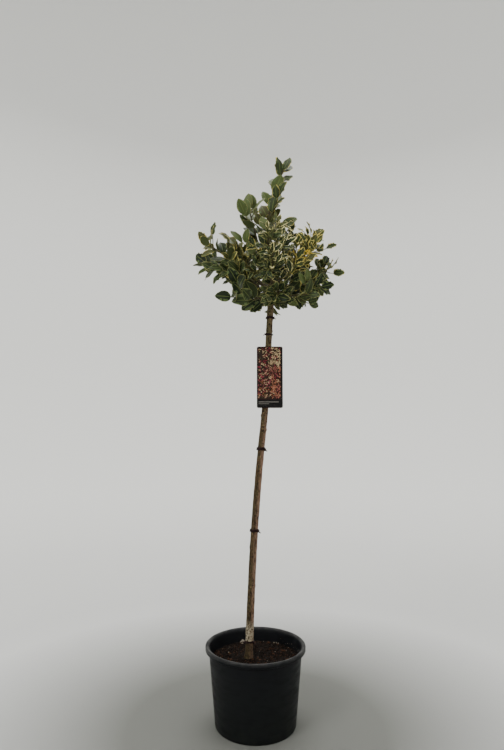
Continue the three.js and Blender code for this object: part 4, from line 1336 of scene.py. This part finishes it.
def make_card():
    """The bowed card of the label, its corners cut off."""
    (left, _, foot), (right, _, top) = LABEL_LOW, LABEL_HIGH
    middle, half, tall = (left + right) / 2, (right - left) / 2, top - foot
    corners = CARD_CORNERS + tuple((tall - z, inset) for z, inset in CARD_CORNERS[::-1])
    rows, inset = (np.array(values)[:, None] for values in zip(*corners, strict=True))
    x = np.linspace(-half, half, CARD_COLUMNS) * np.ones_like(rows)
    x = np.clip(x, -half + inset, half - inset)
    front = np.stack([x + middle, card_front(x), rows + foot + 0 * x], -1).reshape(-1, 3)
    count, step = len(front), CARD_COLUMNS
    ring = [*range(step), *range(2 * step - 1, count, step)]
    ring += [*range(count - 2, count - step - 1, -1), *range(count - 2 * step, 0, -step)]
    rim = [(a, a + count, b + count, b) for a, b in zip(ring, ring[1:] + ring[:1], strict=True)]
    flat = grid_faces(len(corners), step)
    faces = flat.tolist() + (flat[:, ::-1] + count).tolist() + rim
    look = plain_finish("label_card", (36, 20, 16), 0.3, *GLOSS[1:])
    card = Piece("label_card", look, "label", ["label"])
    card.add(np.concatenate([front, front + (0, LABEL_CARD, 0)]), faces)
    card.make(sharp=40)


def make_print():
    """A plain pattern of petals and leaves on the card, a stripe, and two bars for small print."""
    middle, foot = (LABEL_LOW[0] + LABEL_HIGH[0]) / 2, LABEL_LOW[2]
    half, tall = (LABEL_HIGH[0] - LABEL_LOW[0]) / 2, LABEL_HIGH[2] - foot
    prints = {
        name: Piece("label_" + name, plain_finish("ink_" + name, colour, *GLOSS), "label")
        for name, colour in INKS.items()
    }
    rng = np.random.default_rng(SEED + 1)
    ways = circle(PETAL_SIDES)
    for k in range(PETALS):
        x, share = rng.uniform(-half + 4, half - 7), rng.random()
        z = BAND_TOP + 5 + share * (tall - BAND_TOP - 9)
        _, names, right_name = next(zone for zone in ZONES if share < zone[0])
        name = names[rng.integers(len(names))]
        if x > 4 and rng.random() < 0.55:
            name = right_name
        long, wide, angle = rng.uniform(5, 10), rng.uniform(0.4, 1.0), rng.uniform(0, math.tau)
        along, across = long / 2 * ways[0], wide * ways[1] * (1 - 0.3 * ways[0])
        px = np.clip(x + along * math.cos(angle) - across * math.sin(angle), -half + 1, half - 2)
        pz = np.clip(z + along * math.sin(angle) + across * math.cos(angle), BAND_TOP, tall - 1)
        depth = 0.05 + PRINT_DEPTH * k / PETALS
        shape = np.stack([px + middle, card_front(px) - depth, pz + foot], -1)
        prints[name].add(shape, [list(range(PETAL_SIDES))])
    for name, left, right, low, high, over in (
        ("black", -half + 1, half - 1, 1.5, BAND_TOP, 0.1),
        ("dark", half - STRIPE_WIDTH, half - 0.6, BAND_TOP, tall - 4, 0.12),
        ("grey", -half + 5, half - 12, BAND_TOP - 7.5, BAND_TOP - 6, 0.2),
        ("grey", -half + 5, -2, BAND_TOP - 12.5, BAND_TOP - 11.5, 0.2),
    ):
        x = np.linspace(left, right, 15)
        y = card_front(x) - (PRINT_DEPTH + over)
        edges = [np.stack([x + middle, y, 0 * x + foot + z], -1) for z in (low, high)]
        prints[name].add(np.concatenate(edges), grid_faces(2, 15))
    for piece in prints.values():
        piece.make()


def make_strap():
    """The strap round the stem, and the lug from it to the card."""
    height = (STRAP_LOW[2] + STRAP_HIGH[2]) / 2
    centre, axis, front, right = stem_frame(height)
    across, ahead = circle(STRAP_SIDES)
    round_it = np.outer(across, right) + np.outer(ahead, front)
    inner = trunk_radius(height) + 0.6
    outer = inner + STRAP_THICK
    profile = ((inner, -STRAP_HALF), (outer, -2.6), (outer, 2.6), (inner, STRAP_HALF))
    rings = [centre + radius * round_it + axis * along for radius, along in profile]
    strap = Piece("label_strap", plain_finish("strap", (30, 26, 24), 0.5), "tie", ["label_strap"])
    strap.add(np.concatenate([*rings, rings[0]]), grid_faces(5, STRAP_SIDES, wrap=True))
    lug = np.array([centre + front * inner, [centre[0], card_front(0) + LABEL_CARD, height]])
    strap.add(*tube(lug, [2.2, 2.2], 8))
    strap.make(sharp=40)


# ------------------------------------------------------------------ stage

FLOOR_RADIUS, BEND, BOWL_RADIUS, BOWL_HEIGHT = 2.3, 1.6, 3.9, 7.0
BACKDROP_SIDES = 96
LAMPS = (                           # name, place, size and power
    ("key", (-1.9, -2.2, 3.2), 1.3, 84),
    ("fill", (2.4, -1.8, 2.4), 2.2, 14),
    ("top", (0.2, 0.6, 4.2), 2.2, 135),
)
LAMPS_AIM = Vector((0.03, 0, 1.05))
SKY, SKY_STRENGTH = (240, 241, 240), 0.95
CAMERA_PLACE, CAMERA_TILT, CAMERA_LENS = (-0.00998, -1.63466, 0.81788), 5.185, 27.02


def make_stage():
    """A pale floor with painted shade round the pot, which rises into a round wall; three soft
    lights and the camera.
    """
    bend = [(FLOOR_RADIUS + BEND * math.sin(a), BEND * (1 - math.cos(a)))
            for a in np.linspace(0, math.pi / 2, 14)]
    profile = [(0.01, 0), *bend, (BOWL_RADIUS, BOWL_HEIGHT)]
    points, _ = lathe(profile, BACKDROP_SIDES)
    faces = grid_faces(len(profile), BACKDROP_SIDES, wrap=True)[:, ::-1]
    finish = Finish("backdrop", (228, 228, 225), 0.9)
    away = finish.node("VectorMath")
    away.operation = "LENGTH"
    finish.link(finish.place, away.inputs[0])
    finish.tint((192, 192, 190), away.outputs["Value"], 3.2, 1.2)
    # Painted shade: the floor turns much darker within a metre of the pot.
    finish.tint((100, 101, 96), away.outputs["Value"], 1.0, 0.35)
    mesh = smooth_mesh("backdrop", points, faces, finish.material)
    backdrop = placed("backdrop", mesh)

    for name, place, size, power in LAMPS:
        light = bpy.data.lights.new(name, "AREA")
        light.size, light.energy = size, power
        lamp = placed(name, light)
        lamp.location = place
        lamp.rotation_euler = (LAMPS_AIM - Vector(place)).to_track_quat("-Z", "Y").to_euler()
    world = bpy.data.worlds.new("world")
    world.use_nodes = True
    sky = world.node_tree.nodes["Background"]
    sky.inputs[0].default_value, sky.inputs[1].default_value = linear(*SKY), SKY_STRENGTH
    bpy.context.scene.world = world

    lens = bpy.data.cameras.new("camera")
    lens.sensor_width, lens.lens = 36, CAMERA_LENS
    camera = placed("camera", lens)
    camera.location = CAMERA_PLACE
    camera.rotation_euler = (math.radians(90 + CAMERA_TILT), 0, 0)
    bpy.context.scene.camera = camera


make_pot()
make_soil()
make_trunk()
make_crown()
make_ties()
make_card()
make_print()
make_strap()
make_stage()
